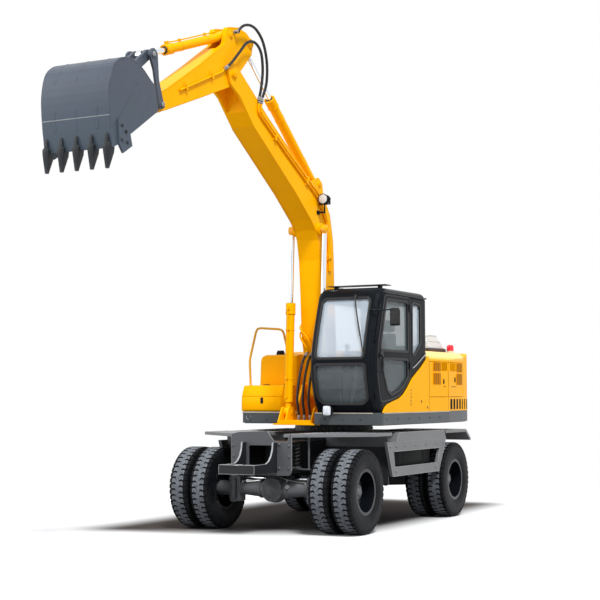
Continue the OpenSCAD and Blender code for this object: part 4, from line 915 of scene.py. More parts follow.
def bead(name, line, wide, thick, outward):
    """A flat rubber section along a closed line of points; outward is the way that the line's plane faces"""
    piece = blank(name)
    mesh = bmesh.from_edit_mesh(piece.data)
    section = ((-0.5, 0), (-0.42, 0.8), (0, 1), (0.42, 0.8), (0.5, 0))
    outward = Vector(outward)
    count = len(line)
    rings = []
    for k, point in enumerate(line):
        run = (line[(k + 1) % count] - line[k - 1]).normalized()
        side = run.cross(outward).normalized()
        up = side.cross(run).normalized()
        rings.append([mesh.verts.new(point + side * a * wide + up * b * thick) for a, b in section])
    for k in range(count):
        for a, b in zip(range(4), range(1, 5)):
            mesh.faces.new((rings[k - 1][a], rings[k][a], rings[k][b], rings[k - 1][b]))
        mesh.faces.new((rings[k - 1][4], rings[k][4], rings[k][0], rings[k - 1][0]))
    bmesh.update_edit_mesh(piece.data)
    bpy.ops.mesh.select_all(action="SELECT")
    bpy.ops.mesh.normals_make_consistent(inside=False)
    bpy.ops.object.mode_set(mode="OBJECT")
    return piece


# Window seals: extruded sections of black rubber, pushed on to the welded edge of every opening; their
# lips hold the panes, and the door closes against a seal of its own.
front_windows = {
    "low": [(0.393, 1.560, 0.110), (1.085, 1.560, 0.110), (1.085, 2.050, 0.040), (0.393, 2.050, 0.040)],
    "high": [(0.400, 2.125, 0.050), (1.068, 2.125, 0.050), (1.068, 2.885, 0.060), (0.400, 2.885, 0.060)]}
for name, corners in front_windows.items():
    line = loop(corners)
    dense = []
    for k, point in enumerate(line):
        following = line[(k + 1) % len(line)]
        parts = max(1, int((following - point).length / 0.06))
        dense += [point.lerp(following, step / parts) for step in range(parts)]
    seal = bead(f"windscreen_seal_{name}", [at(face_x(p.y) + 0.001, p.x, p.y) for p in dense], 0.034,
                0.010, (1, 0, 0))
    settle(seal, "house", rubber)
door_high = [(0.080, 2.225, 0.03), (0.080, 2.870, 0.05), (0.745, 2.870, 0.05), (0.925, 2.300, 0.001),
             (0.935, 2.225, 0.03)]
door_low = [(0.095, 1.890, 0.04), (0.095, 2.125, 0.03), (0.845, 2.125, 0.03), (0.850, 1.960, 0.04),
            (0.735, 1.725, 0.04), (0.620, 1.672, 0.04), (0.405, 1.718, 0.03), (0.240, 1.790, 0.03)]
quarter = [(-0.335, 2.345, 0.05), (-0.335, 2.850, 0.05), (-0.060, 2.875, 0.04), (-0.060, 2.190, 0.04),
           (-0.130, 2.190, 0.04)]
right_side = [(-0.430, 2.250, 0.05), (-0.430, 2.860, 0.06), (0.760, 2.860, 0.06), (0.900, 2.150, 0.05),
              (-0.330, 2.150, 0.05)]
side_openings = [("door_seal_high", "cab_door", 1.2, 1, door_high),
                 ("door_seal_low", "cab_door", 1.2, 1, door_low),
                 ("quarter_seal", "house", 1.2, 1, quarter),
                 ("right_seal", "house", 0.306, -1, right_side)]
for name, body, y, way, corners in side_openings:
    seal = bead(name, [at(p.x, y, p.y) for p in loop(corners)], 0.032, 0.009, (0, way, 0))
    settle(seal, body, rubber)
door_outline = [(0.020, 1.895, 0.03), (0.020, 2.925, 0.05), (0.790, 2.925, 0.06), (1.000, 2.300, 0.001),
                (1.035, 2.080, 0.001), (1.028, 1.900, 0.001), (0.975, 1.700, 0.001), (0.930, 1.585, 0.06),
                (0.640, 1.610, 0.04), (0.391, 1.662, 0.03), (0.132, 1.800, 0.03)]
seal = bead("door_frame_seal", [at(p.x, 1.1995, p.y) for p in loop(door_outline)], 0.020, 0.006,
            (0, 1, 0))
settle(seal, "house", rubber)

# Wiper: a spring-loaded arm of black pressed steel from its motor's spindle above the windscreen, with a
# rubber blade held by a bridge.
wiper_bends = ((2.90, 0.020, 0.860, 2.905), (2.80, 0.030, 0.880, 2.80), (2.55, 0.032, 0.958, 2.55),
               (2.40, 0.028, 1.002, 2.40))
wiper = pipe("wiper", [at(face_x(level) + off, y, z) for level, off, y, z in wiper_bends], 0.009)
reopen(wiper)
peg(at(face_x(2.905) + 0.012, 0.860, 2.905), 0.020, 0.030, 20, (0, math.radians(78), 0))
blade_low, blade_high = at(face_x(2.17) + 0.018, 1.068, 2.17), at(face_x(2.63) + 0.018, 0.932, 2.63)
run = blade_high - blade_low
for width, rise in ((0.010, 0.0), (0.020, 0.007)):
    slab((blade_low + blade_high) / 2 + Vector((rise, 0, 0)), (0.007, width, run.length),
         run.to_track_quat("Z", "Y").to_euler())
settle(wiper, "house", rubber)

# Grab rails: bent steel tubes with flat bolted feet, down the front pillar and on the roof, sprayed black
# like the cab; a zinc-plated stay crosses under the rear side window, and a short hook sits low on the
# pillar.
flat_foot, pillar_foot = (0, 0, 0), (0, math.radians(80), math.radians(50))
pillar_bends = ((2.85, -0.045, 1.155, 2.850), (2.85, -0.005, 1.200, 2.830), (2.70, -0.005, 1.205, 2.700),
                (2.45, -0.005, 1.208, 2.450), (2.36, -0.005, 1.205, 2.340), (2.33, -0.045, 1.155, 2.320))
roof_bends = ((0.52, 3.018), (0.52, 3.040), (0.40, 3.048), (0.00, 3.048), (-0.12, 3.040), (-0.12, 3.018))
pillar_line = [at(face_x(level) + off, y, z) for level, off, y, z in pillar_bends]
roof_line = [at(x, 0.42, z) for x, z in roof_bends]
for name, line, foot_turn in (("pillar_rail", pillar_line, pillar_foot),
                              ("roof_rail", roof_line, flat_foot)):
    rail = pipe(name, line, 0.011)
    reopen(rail)
    for end in (line[0], line[-1]):
        peg(end, 0.024, 0.008, 20, foot_turn)
    settle(rail, "house", cab_black)
stay_bends = ((-0.083, 1.198, 2.020), (-0.090, 1.212, 2.024), (-0.300, 1.213, 2.121),
              (-0.520, 1.212, 2.224), (-0.527, 1.198, 2.227))
stay = pipe("side_stay", [at(*bend) for bend in stay_bends], 0.0075)
settle(stay, "house", zinc)
hook_bends = ((1.70, -0.055, 1.150, 1.720), (1.70, -0.005, 1.190, 1.715), (1.65, -0.005, 1.195, 1.660),
              (1.62, -0.055, 1.150, 1.620))
hook = pipe("step_hook", [at(face_x(level) + off, y, z) for level, off, y, z in hook_bends], 0.010)
reopen(hook)
for z in (1.720, 1.620):
    peg(at(face_x(z) - 0.055, 1.150, z), 0.022, 0.010, 20, pillar_foot)
settle(hook, "house", cab_black)

# Door lock: a pressed black dish with a pull handle and a push button, let into the door's frame beside
# its opening edge.
lock_corners = ((0.885, 2.120), (0.965, 2.120), (0.975, 2.130), (0.975, 2.200), (0.965, 2.210),
                (0.885, 2.210), (0.875, 2.200), (0.875, 2.130))
lock = cut_plate("door_lock", [at(x, 1.1995, z) for x, z in lock_corners], (0, 0.010, 0), 0.002)
reopen(lock)
brick(at(0.885, 1.208, 2.150), at(0.950, 1.224, 2.172))
peg(at(0.955, 1.214, 2.192), 0.012, 0.014, 18, crosswise)
settle(lock, "cab_door", rubber)

# Roof: an escape hatch of pressed sheet on two round hinges, sprayed like the cab; a bent gutter of steel
# tube runs over the door and keeps the rain off it.
hatch_line = loop([(-0.35, 0.50, 0.05), (0.30, 0.50, 0.05), (0.30, 1.00, 0.05), (-0.35, 1.00, 0.05)])
hatch = cut_plate("roof_hatch", [at(p.x, p.y, 3.019) for p in hatch_line], (0, 0, 0.012), 0.004)
reopen(hatch)
for y in (0.62, 0.88):
    peg(at(-0.36, y, 3.030), 0.010, 0.08, 16, crosswise)
settle(hatch, "house", cab_black)
gutter = pipe("roof_gutter", [at(-0.45, 1.206, 2.935), at(0.30, 1.206, 2.950), at(0.76, 1.206, 2.945)],
              0.008)
settle(gutter, "house", cab_black)

# Side mirror: silvered glass in a black moulded shell with round corners, clamped at the end of its bent
# arm before the door.
mirror_shell = blank("mirror_shell")
brick(at(0.986, 1.362, 2.534), at(1.026, 1.490, 2.742))
soften(mirror_shell, 0.019, 4)
settle(mirror_shell, "house", rubber)
mirror_glass = blank("mirror_glass")
brick(at(0.9835, 1.374, 2.548), at(0.9875, 1.478, 2.728))
soften(mirror_glass, 0.0015, 2)
silver = Finish("mirror_silver", Base_Color=(0.85, 0.87, 0.88), Metallic=1.0, Roughness=0.04)
settle(mirror_glass, "house", silver)

# Lamps: work lamps in black moulded housings with a clear ribbed lens, one low on the cab's front and one
# on the boom, held there by a folded steel bracket with two bolts.
lens_clear = Finish("lens_clear", Base_Color=(0.72, 0.76, 0.80), Roughness=0.10, Coat_Weight=0.6)
ribs = abs((lens_clear.part("Y") * 55.0) % 1.0 - 0.5)
lens_clear.set(Base_Color=lens_clear.mix(ribs.between(0.1, 0.4), (0.45, 0.50, 0.55), (0.85, 0.88, 0.92)))
lens_clear.bump(ribs, 0.002)
wear(["cab_lamp", "boom_lamp"], black_gap)
lamp_profile = [(0.0, -0.052), (0.030, -0.050), (0.050, -0.038), (0.062, -0.015), (0.066, 0.0),
                (0.068, 0.004), (0.068, 0.012), (0.062, 0.014), (0.060, 0.008)]
lens_profile = [(0.0, 0.018), (0.025, 0.017), (0.045, 0.014), (0.060, 0.009), (0.060, 0.002)]
lamp_places = (("cab_lamp", "house", (1.078, 0.527, 1.477)), ("boom_lamp", "boom", (0.628, 0.255, 4.215)))
for name, body, centre in lamp_places:
    shell = turned(name + "_shell", lamp_profile, 36)
    lens = turned(name + "_lens", lens_profile, 36)
    for part, finish, kind in ((shell, black_gap, "dark_paint"), (lens, lens_clear, "lamp_plastic")):
        only(part)
        if name == "cab_lamp":
            for point in part.data.vertices:
                wide = max(abs(point.co.x), abs(point.co.z), 0.0001)
                share = 1 + 0.72 * (math.hypot(point.co.x, point.co.z) / wide - 1)
                point.co.x *= share * 0.92
                point.co.z *= share
        part.rotation_euler = (0, 0, math.radians(-90))
        part.location = at(*centre)
        bpy.ops.object.transform_apply(location=True, rotation=True)
        settle(part, body, finish)
bracket = blank("boom_lamp_bracket")
for y in (0.182, 0.322):
    brick(at(0.560, y, 4.150), at(0.600, y + 0.006, 4.235))
brick(at(0.560, 0.182, 4.144), at(0.600, 0.328, 4.150))
for y, way in ((0.182, -1), (0.328, 1)):
    hexagon(at(0.580, y, 4.215), (0, way, 0), 0.010, 0.010)
settle(bracket, "boom", black_gap)

# Seat: moulded foam cushions in a charcoal woven cloth, on a pleated bellows and a sliding rail; the
# cushions are blown up a little inside their covers, so that every edge is full and round.
cloth = Finish("seat_cloth", Roughness=0.92, Specular_IOR_Level=0.2)
weave_x = abs((cloth.part("X") * 420.0) % 1.0 - 0.5)
weave_y = abs(((cloth.part("Y") + cloth.part("Z")) * 420.0) % 1.0 - 0.5)
cloth.set(Base_Color=cloth.mix((weave_x * weave_y * 4).between(0.1, 0.8), (0.060, 0.066, 0.078),
                               (0.130, 0.140, 0.160)))
cloth.bump(weave_x * weave_y, 0.0012)
seat_x, seat_y, cab_base = 0.130, 0.753, 1.4958


def seat_at(x, y, z):
    """A place measured from the middle of the seat, on the cab's floor"""
    return at(seat_x + x, seat_y + y, cab_base + z)


def cushion(name, low, high, lean=0.0, crown=0.022, pivot=None):
    """A block of foam in its cover: remeshed, then blown up by cloth under pressure and pinned nowhere"""
    pad = blank(name)
    brick(low, high)
    soften(pad, 0.028, 3)
    only(pad)
    remesh = pad.modifiers.new("even", "REMESH")
    remesh.mode, remesh.voxel_size = "VOXEL", 0.008
    bpy.ops.object.modifier_apply(modifier="even")
    push = pad.modifiers.new("blown", "CLOTH")
    push.settings.use_pressure = True
    push.settings.uniform_pressure_force = 4.0
    push.settings.effector_weights.gravity = 0.0
    push.settings.quality = 5
    push.settings.tension_stiffness = push.settings.compression_stiffness = 15.0
    push.point_cache.frame_start, push.point_cache.frame_end = 1, 12
    rest = [point.co.copy() for point in pad.data.vertices]
    for frame_number in range(1, 11):
        bpy.context.scene.frame_set(frame_number)
    bpy.ops.object.modifier_apply(modifier="blown")
    for point, start in zip(pad.data.vertices, rest):
        move = point.co - start
        if move.length > crown:
            point.co = start + move.normalized() * crown
    if lean:
        bpy.ops.transform.rotate(value=lean, orient_axis="Y", center_override=pivot)
        bpy.ops.object.transform_apply(rotation=True, location=True)
    return pad


pads = (("seat_cushion", (-0.215, -0.225, 0.335), (0.250, 0.225, 0.425), 0.0),
        ("seat_back", (-0.300, -0.215, 0.440), (-0.200, 0.215, 0.980), math.radians(-9)),
        ("head_rest", (-0.395, -0.125, 1.010), (-0.325, 0.125, 1.165), math.radians(-8)))
for name, low, high, lean in pads:
    low, high = seat_at(*low), seat_at(*high)
    pad = cushion(name, low, high, lean, pivot=Vector(((low.x + high.x) / 2, seat_at(0, 0, 0).y, low.z)))
    settle(pad, "house", cloth,
           stands_for=("seat",) if name == "seat_cushion" else ())
plastic = Finish("control_plastic", Base_Color=(0.085, 0.090, 0.098), Roughness=0.48,
                 Specular_IOR_Level=0.35)
plastic.bump(plastic.noise(420.0, 2, 0.5), 0.0003)
base = blank("seat_base")
for k in range(5):
    spread = 0.165 + (0.018 if k % 2 else 0.0)
    brick(seat_at(-spread, -spread, 0.060 + 0.042 * k), seat_at(spread, spread, 0.102 + 0.042 * k))
brick(seat_at(-0.200, -0.190, 0.001), seat_at(0.200, 0.190, 0.060))
brick(seat_at(-0.220, -0.200, 0.270), seat_at(0.220, 0.200, 0.330))
soften(base, 0.008, 2)
settle(base, "house", plastic)
frame_back = blank("seat_frame")
for y in (-0.235, 0.215):
    brick(seat_at(-0.300, y, 0.330), seat_at(-0.210, y + 0.020, 0.520))
for y in (-0.060, 0.060):
    peg(seat_at(-0.352, y, 1.010), 0.009, 0.16, 14, (0, math.radians(-9), 0))
for y in (-0.280, 0.232):
    brick(seat_at(-0.210, y, 0.590), seat_at(0.080, y + 0.048, 0.628))
soften(frame_back, 0.006, 2)
settle(frame_back, "house", plastic)

# Controls: moulded consoles; each lever has a pleated rubber boot and a round grip with a button; the
# instrument cluster stands by the right front pillar, and a ribbed rubber mat lies on the floor.
wear(["controls"], plastic)
boots = blank("lever_boots")
for side_offset in (-0.298, 0.297):
    for k in range(5):
        peg(seat_at(0.182, side_offset, 0.566 + 0.012 * k), 0.042 - 0.005 * k + (0.004 if k % 2 else 0),
            0.012, 22)
    bpy.ops.mesh.primitive_uv_sphere_add(segments=20, ring_count=12, radius=0.036,
                                         location=seat_at(0.212, side_offset, 0.800))
    peg(seat_at(0.212, side_offset, 0.838), 0.007, 0.010, 12)
settle(boots, "house", rubber)
cluster_corners = ((0.800, 1.960), (0.880, 1.960), (0.905, 2.100), (0.850, 2.120))
cluster = cut_plate("instrument_cluster", [at(x, 0.420, z) for x, z in cluster_corners],
                    (0, 0.200, 0), 0.008)
settle(cluster, "house", plastic)
mat = blank("floor_mat")
brick(at(-0.35, 0.372, cab_base - 0.0003), at(0.72, 1.130, cab_base + 0.004))
for k in range(16):
    brick(at(0.42 + 0.018 * k, 0.40, cab_base + 0.0035), at(0.428 + 0.018 * k, 1.10, cab_base + 0.007))
settle(mat, "house", rubber)

# Front linkage: bucket and links are welded from thick plate and sprayed a bluish grey that is rubbed
# bright along its edges; the piston rods are ground steel with hard chrome, and the boom rods' eyes are
# painted.
bucket_grey = sprayed("bucket_grey", (0.070, 0.084, 0.110), gloss=0.38, dust=0.05, edge=0.6,
                      edge_colour=(0.22, 0.25, 0.30), shine=0.20)
# The bucket is painted darker towards its foot: painted shade on its lower part
bucket_shade_fade = bucket_grey.part("Z").between(4.15, 4.95)
bucket_grey.set(Base_Color=bucket_grey.mix(bucket_shade_fade, (0.060, 0.080, 0.105), bucket_grey.colour()))
wear(["bucket", "guide_links", "bucket_link"], bucket_grey)
chrome = Finish("rod_chrome", Base_Color=(0.80, 0.83, 0.87), Metallic=1.0, Roughness=0.16)
wear(["arm_rod", "bucket_rod", "steer_rod"], chrome)
eye_paint = Finish("rod_chrome_painted_eye")
eye = eye_paint.part("Z").between(3.764, 3.770)
eye_paint.set(Base_Color=eye_paint.mix(eye, (0.80, 0.83, 0.87), (0.95, 0.42, 0.0)), Metallic=1 - eye,
              Roughness=eye * 0.20 + 0.16)
wear(["boom_rods"], eye_paint)


def lathe(name, profile, start, way, steps=36):
    """A profile of radius and length, turned about a line that starts at a place and runs one way"""
    piece = turned(name, profile, steps)
    piece.rotation_euler = Vector(way).to_track_quat("Y", "Z").to_euler()
    piece.location = start
    bpy.ops.object.transform_apply(location=True, rotation=True)
    return piece


def plate_line(a, b, y, wide, thick):
    """A flat bar in a side plate's plane between two places (x, z), added to the open mesh"""
    run = Vector((b[0] - a[0], 0, b[1] - a[1]))
    slab(at((a[0] + b[0]) / 2, y, (a[1] + b[1]) / 2), (run.length, thick, wide),
         (0, -math.atan2(run.z, run.x), 0))


# Pins: each hinge pin ends in a turned cover with three small bolts; a welded boss stands round it, and a
# keeper bar with two bolts holds the larger ones against turning.
hinge_pins = [("boom_foot", "house", 0.160, 1.720, 0.247, 0.043, None),
              ("lift_base", "house", 0.680, 1.450, 0.298, 0.033, None),
              ("lift_eye", "boom", 0.555, 3.830, 0.271, 0.036, None),
              ("arm_pivot", "boom", 2.760, 5.430, 0.175, 0.043, 0.155),
              ("arm_cylinder_base", "boom", 0.420, 4.446, 0.103, 0.033, 0.092),
              ("arm_cylinder_eye", "arm", 2.310, 5.900, 0.134, 0.040, None),
              ("bucket_cylinder_base", "arm", 2.770, 5.900, 0.132, 0.033, 0.120),
              ("guide_foot", "guide_links", 4.288, 4.788, 0.178, 0.029, 0.162),
              ("link_top", "guide_links", 4.460, 5.300, 0.174, 0.029, 0.162),
              ("bucket_pin", "bucket", 4.630, 4.670, 0.170, 0.033, 0.156),
              ("bucket_ear", "bucket", 4.842, 5.009, 0.170, 0.029, 0.156)]
for name, body, x, z, end, radius, plate in hinge_pins:
    for side in (1, -1):
        thick = 0.004 if name == "lift_base" and side > 0 else 0.010
        grey = body in ("bucket", "guide_links")
        paint, paint_slot = (bucket_grey, "attachment_grey") if grey else (body_yellow, "body_yellow")
        cover_profile = [(0, thick), (0.007, thick), (0.008, thick * 0.7), (radius * 0.80, thick * 0.7),
                         (radius, thick * 0.3), (radius, -0.010)]
        cover = turned(f"pin_{name}_{hand(side)}", cover_profile, 32)
        cover.scale = (1, side, 1)
        cover.location = at(x, end * side, z)
        bpy.ops.object.transform_apply(location=True, scale=True)
        reopen(cover)
        if thick > 0.005:
            for k in range(3):
                angle = 0.5 + k * math.pi * 2 / 3
                spot = at(x + radius * 0.58 * math.cos(angle), (end + 0.0065) * side,
                          z + radius * 0.58 * math.sin(angle))
                hexagon(spot, (0, side, 0), 0.006, 0.006)
        settle(cover, body, zinc if grey else paint)
        if plate is None:
            continue
        boss_profile = [(radius + 0.003, -0.004), (radius + 0.003, 0.007), (radius + 0.014, 0.007),
                        (radius + 0.020, 0.001), (radius + 0.020, -0.004)]
        boss = lathe(f"boss_{name}_{hand(side)}", boss_profile, at(x, plate * side, z), (0, side, 0))
        reopen(boss)
        if radius > 0.028 and name not in ("arm_cylinder_base", "bucket_cylinder_base"):
            low = (x - radius * 1.35, z - radius * 0.62)
            high = (x + radius * 1.35, z - radius * 0.62)
            plate_line(low, high, (plate + 0.004) * side, 0.020, 0.009)
            for spot in (low, high):
                inwards = 0.008 if spot is low else -0.008
                hexagon(at(spot[0] + inwards, (plate + 0.008) * side, spot[1]), (0, side, 0),
                        0.007, 0.007)
        settle(boss, body, paint)

# Cylinders: at the barrel's open end a screwed gland with a black wiper lip and a ring of bolts; clamps
# on the barrel carry a thin steel pipe from the base port to the gland's port.
lift_base, lift_eye = (0.680, 1.450), (0.555, 3.830)
cylinders = [
    ("boom_cylinder_left", "boom_barrels", lift_base, lift_eye, 0.236, 0.055, 0.032, 1.400, 0.20, -1),
    ("boom_cylinder_right", "boom_barrels", lift_base, lift_eye, -0.236, 0.055, 0.032, 1.400, 0.20, -1),
    ("arm_cylinder", "arm_barrel", (0.420, 4.446), (2.310, 5.900), 0.0, 0.062, 0.036, 1.490, 0.16, 1),
    ("bucket_cylinder", "bucket_barrel", (2.770, 5.900), (4.460, 5.300), 0.0, 0.052, 0.032, 1.290, 0.16, 1)]
for name, body, base, eye, y, radius, rod_radius, length, first, above in cylinders:
    foot = at(base[0], y, base[1])
    way = (at(eye[0], y, eye[1]) - foot).normalized()
    up = Vector((-way.z, 0, way.x)) * above
    across = (0, math.atan2(-way.z, way.x), 0)
    gland_profile = [(radius + 0.0045, length - 0.128), (radius + 0.0115, length - 0.122),
                     (radius + 0.0115, length - 0.096), (radius + 0.009, length - 0.090)]
    gland = lathe(name + "_gland", gland_profile, foot, way)
    reopen(gland)
    for k in range(8):
        angle = math.pi / 4 * k + 0.2
        out = up * math.cos(angle) + Vector((0, 1, 0)) * math.sin(angle)
        out = out * (rod_radius + radius + 0.012) / 2
        hexagon(foot + way * (length + 0.0195) + out, way, 0.0062, 0.007)
    settle(gland, body, body_yellow)
    lip_profile = [(rod_radius + 0.0010, length + 0.019), (rod_radius + 0.0010, length + 0.029),
                   (rod_radius + 0.004, length + 0.030), (rod_radius + 0.011, length + 0.023),
                   (rod_radius + 0.011, length + 0.019)]
    lip = lathe(name + "_wiper", lip_profile, foot, way)
    settle(lip, body, rubber)
    off = radius + 0.017
    bends = [(first, radius - 0.004), (first, off + 0.004), (first + 0.04, off), (length - 0.20, off),
             (length - 0.150, off + 0.002), (length - 0.118, radius + 0.024),
             (length - 0.050, radius + 0.026)]
    tube = pipe(name + "_pipe", [foot + way * run + up * rise for run, rise in bends], 0.0085)
    reopen(tube)
    for spot in (foot + way * first + up * radius, foot + way * (length - 0.050) + up * (radius + 0.018)):
        slab(spot + up * 0.006, (0.040, 0.036, 0.030), across)
    settle(tube, body, body_yellow)
    for count, along_it in enumerate((first + 0.22, length - 0.34)):
        band_profile = [(radius - 0.001, along_it), (radius + 0.0035, along_it),
                        (radius + 0.0035, along_it + 0.024), (radius - 0.001, along_it + 0.024)]
        band = lathe(f"{name}_clamp_{count + 1}", band_profile, foot, way, 32)
        reopen(band)
        slab(foot + way * (along_it + 0.012) + up * (off + 0.001), (0.026, 0.034, 0.026), across)
        hexagon(foot + way * (along_it + 0.012) + up * (off + 0.013), up, 0.006, 0.006)
        settle(band, body, body_yellow)

# Boom and arm: box sections of four plates; a fillet weld runs along each corner where the side plate
# meets the flange, and across the sides where two plates are joined.
boom_under = [(0.300, 1.95), (0.445, 2.40), (0.483, 3.00), (0.520, 3.43), (0.577, 3.69), (0.635, 3.80),
              (0.766, 3.922), (1.196, 4.227), (1.696, 4.537), (2.270, 4.893)]
boom_over = [(2.420, 5.370), (1.935, 5.063), (1.496, 4.819), (1.036, 4.564), (0.786, 4.419),
             (0.526, 4.319), (0.369, 4.201), (0.241, 4.050), (0.153, 3.728), (0.130, 3.465),
             (0.120, 3.00), (0.070, 2.40), (0.055, 1.95)]
arm_under = [(2.980, 5.210), (3.452, 5.029), (4.130, 4.771), (4.500, 4.632)]
arm_over = [(4.560, 4.795), (4.126, 4.991), (3.445, 5.406), (3.000, 5.690)]
boom_joints = [(0.150, 3.550), (0.533, 3.500)], [(1.500, 4.815), (1.640, 4.510)]
arm_joint = [(3.560, 5.325), (3.480, 5.025)]
weld_lines = [("boom_welds", "boom", 0.155, (boom_under, boom_over, *boom_joints)),
              ("arm_welds", "arm", 0.120, (arm_under, arm_over, arm_joint))]
for name, body, half_width, lines in weld_lines:
    for side in (1, -1):
        seam = blank(f"{name}_{hand(side)}")
        for line in lines:
            for a, b in zip(line, line[1:]):
                plate_line(a, b, (half_width + 0.0005) * side, 0.0065, 0.0035)
        settle(seam, body, body_yellow)

# Pipe saddles: on the boom's left side both steel pipes lie in halved blocks under a plate with one bolt
# each, and the arm's single pipe in two smaller ones.
saddles = blank("boom_pipe_saddles")
boom_saddles = (((0.285, 3.480), (0.04, 1.0)), ((0.915, 4.420), (0.894, 0.447)),
                ((1.765, 4.850), (0.878, 0.478)))
for (x, z), (dx, dz) in boom_saddles:
    plate_line((x - dz * 0.052, z + dx * 0.052), (x + dz * 0.052, z - dx * 0.052), 0.1885, 0.046, 0.006)
    plate_line((x - dz * 0.006, z + dx * 0.006), (x + dz * 0.006, z - dx * 0.006), 0.176, 0.046, 0.024)
    hexagon(at(x, 0.1915, z), (0, 1, 0), 0.010, 0.010)
settle(saddles, "boom", body_yellow)
saddles = blank("arm_pipe_saddles")
for x in (3.770, 3.220):
    z = 5.020 + (3.900 - x) * 0.4333
    plate_line((x - 0.018, z - 0.030), (x + 0.018, z + 0.030), 0.1505, 0.036, 0.005)
    hexagon(at(x + 0.016, 0.152, z + 0.026), (0, 1, 0), 0.007, 0.007)
settle(saddles, "arm", body_yellow)

# Bucket: bent and welded plates; seams and wear strips stand proud of its back, four bolts hold each side
# cutter, and the teeth are black castings pushed on their adapters and locked with a pin.
tooth_black = sprayed("tooth_black", (0.016, 0.018, 0.021), gloss=0.40, dust=0.05, edge=0.9,
                      edge_colour=(0.13, 0.14, 0.15), shine=0.20)
tooth_rows = [(4.258, 5.5615, 5.5725, 0.0158), (4.215, 5.5345, 5.5960, 0.0170),
              (4.157, 5.5105, 5.5990, 0.0185), (4.137, 5.5035, 5.6010, 0.0375),
              (4.108, 5.4995, 5.6020, 0.0375), (4.063, 5.5005, 5.5985, 0.0345),
              (3.980, 5.5295, 5.5900, 0.0260), (3.905, 5.5555, 5.5830, 0.0180)]
for k in range(5):
    middle = (k / 2 - 1) * 0.370
    tooth = blank(f"tooth_{k + 1}")
    mesh = bmesh.from_edit_mesh(tooth.data)
    rings = [[mesh.verts.new(at(x, middle + half_wide * side, z))
              for x, side in ((back, -1), (front, -1), (front, 1), (back, 1))]
             for z, back, front, half_wide in tooth_rows]
    for upper, lower in zip(rings, rings[1:]):
        for i in range(4):
            mesh.faces.new((upper[i - 1], upper[i], lower[i], lower[i - 1]))
    mesh.faces.new(rings[0])
    mesh.faces.new(rings[-1][::-1])
    bmesh.update_edit_mesh(tooth.data)
    soften(tooth, 0.0035, 2)
    reopen(tooth)
    peg(at(5.550, middle, 4.121), 0.009, 0.080, 16, crosswise)
    settle(tooth, "bucket", tooth_black)
shell_line = [(4.898, 4.918), (5.009, 4.990), (5.130, 5.048), (5.265, 5.062), (5.390, 5.038),
              (5.480, 4.990), (5.552, 4.920), (5.596, 4.815), (5.617, 4.660), (5.612, 4.500),
              (5.585, 4.300)]
bucket_side = 0.4155
seams = blank("bucket_seams")
for side in (1, -1):
    for a, b in zip(shell_line, shell_line[1:]):
        plate_line((a[0] - 0.006, a[1] - 0.010), (b[0] - 0.006, b[1] - 0.010),
                   bucket_side * side, 0.007, 0.004)
    for a, b in (((5.010, 4.975), (5.330, 4.560)), ((5.330, 4.560), (5.560, 4.300)),
                 ((4.815, 4.860), (5.110, 4.370))):
        plate_line(a, b, bucket_side * side, 0.006, 0.0035)
settle(seams, "bucket", bucket_grey)
for side in (1, -1):
    bolts = blank("side_cutter_bolts_" + hand(side))
    for x, z in ((5.420, 4.345), (5.350, 4.290), (5.420, 4.200), (5.330, 4.185)):
        hexagon(at(x, 0.4372 * side, z), (0, side, 0), 0.015, 0.013)
    settle(bolts, "bucket", tooth_black)
strips = blank("bucket_wear_strips")
for y in (-0.26, 0.0, 0.26):
    for a, b in zip(shell_line[4:], shell_line[5:]):
        plate_line((a[0] + 0.001, a[1] + 0.001), (b[0] + 0.001, b[1] + 0.001), y, 0.003, 0.030)
settle(strips, "bucket", bucket_grey)
seam_steel = sprayed("seam_steel", (0.19, 0.205, 0.22), gloss=0.4, dust=0.1)
lip_seam = blank("bucket_lip_seam")
brick(at(5.596, -0.415, 4.412), at(5.604, 0.415, 4.424))
soften(lip_seam, 0.003, 2)
settle(lip_seam, "bucket", seam_steel)

# Hoses: black rubber over steel braid, crimped into zinc-plated ferrules whose swivel nuts screw on to
# the steel pipes; two loop over the arm's pivot, three hang between the boom's foot and the deck.
hose_radius = 0.0168
arm_hoses = {
    "arm_hose_low": [
        (2.949, 0.142, 5.452), (2.912, 0.150, 5.482), (2.850, 0.182, 5.550), (2.700, 0.200, 5.700),
        (2.540, 0.210, 5.850), (2.360, 0.215, 5.890), (2.210, 0.215, 5.800), (2.150, 0.205, 5.600),
        (2.160, 0.192, 5.400), (2.178, 0.176, 5.265), (2.182, 0.174, 5.228), (2.182, 0.1733, 5.1965)],
    "arm_hose_high": [
        (2.700, 0.1215, 5.950), (2.700, 0.145, 5.950), (2.700, 0.168, 5.950), (2.620, 0.205, 6.035),
        (2.480, 0.222, 6.070), (2.330, 0.228, 6.040), (2.190, 0.235, 5.920), (2.100, 0.235, 5.700),
        (2.075, 0.215, 5.450), (2.112, 0.177, 5.265), (2.119, 0.174, 5.228), (2.119, 0.1733, 5.1965)]}


def smooth_line(points, parts=5):
    """A curve that passes through every point of a line"""
    line = [points[0] * 2 - points[1]] + list(points) + [points[-1] * 2 - points[-2]]
    curve = []
    for a, b, c, d in zip(line, line[1:], line[2:], line[3:]):
        for step in range(parts):
            t = step / parts
            first, second, third = c - a, a * 2 - b * 5 + c * 4 - d, b * 3 - a - c * 3 + d
            curve.append((b * 2 + first * t + second * t * t + third * t ** 3) / 2)
    return curve + [points[-1]]


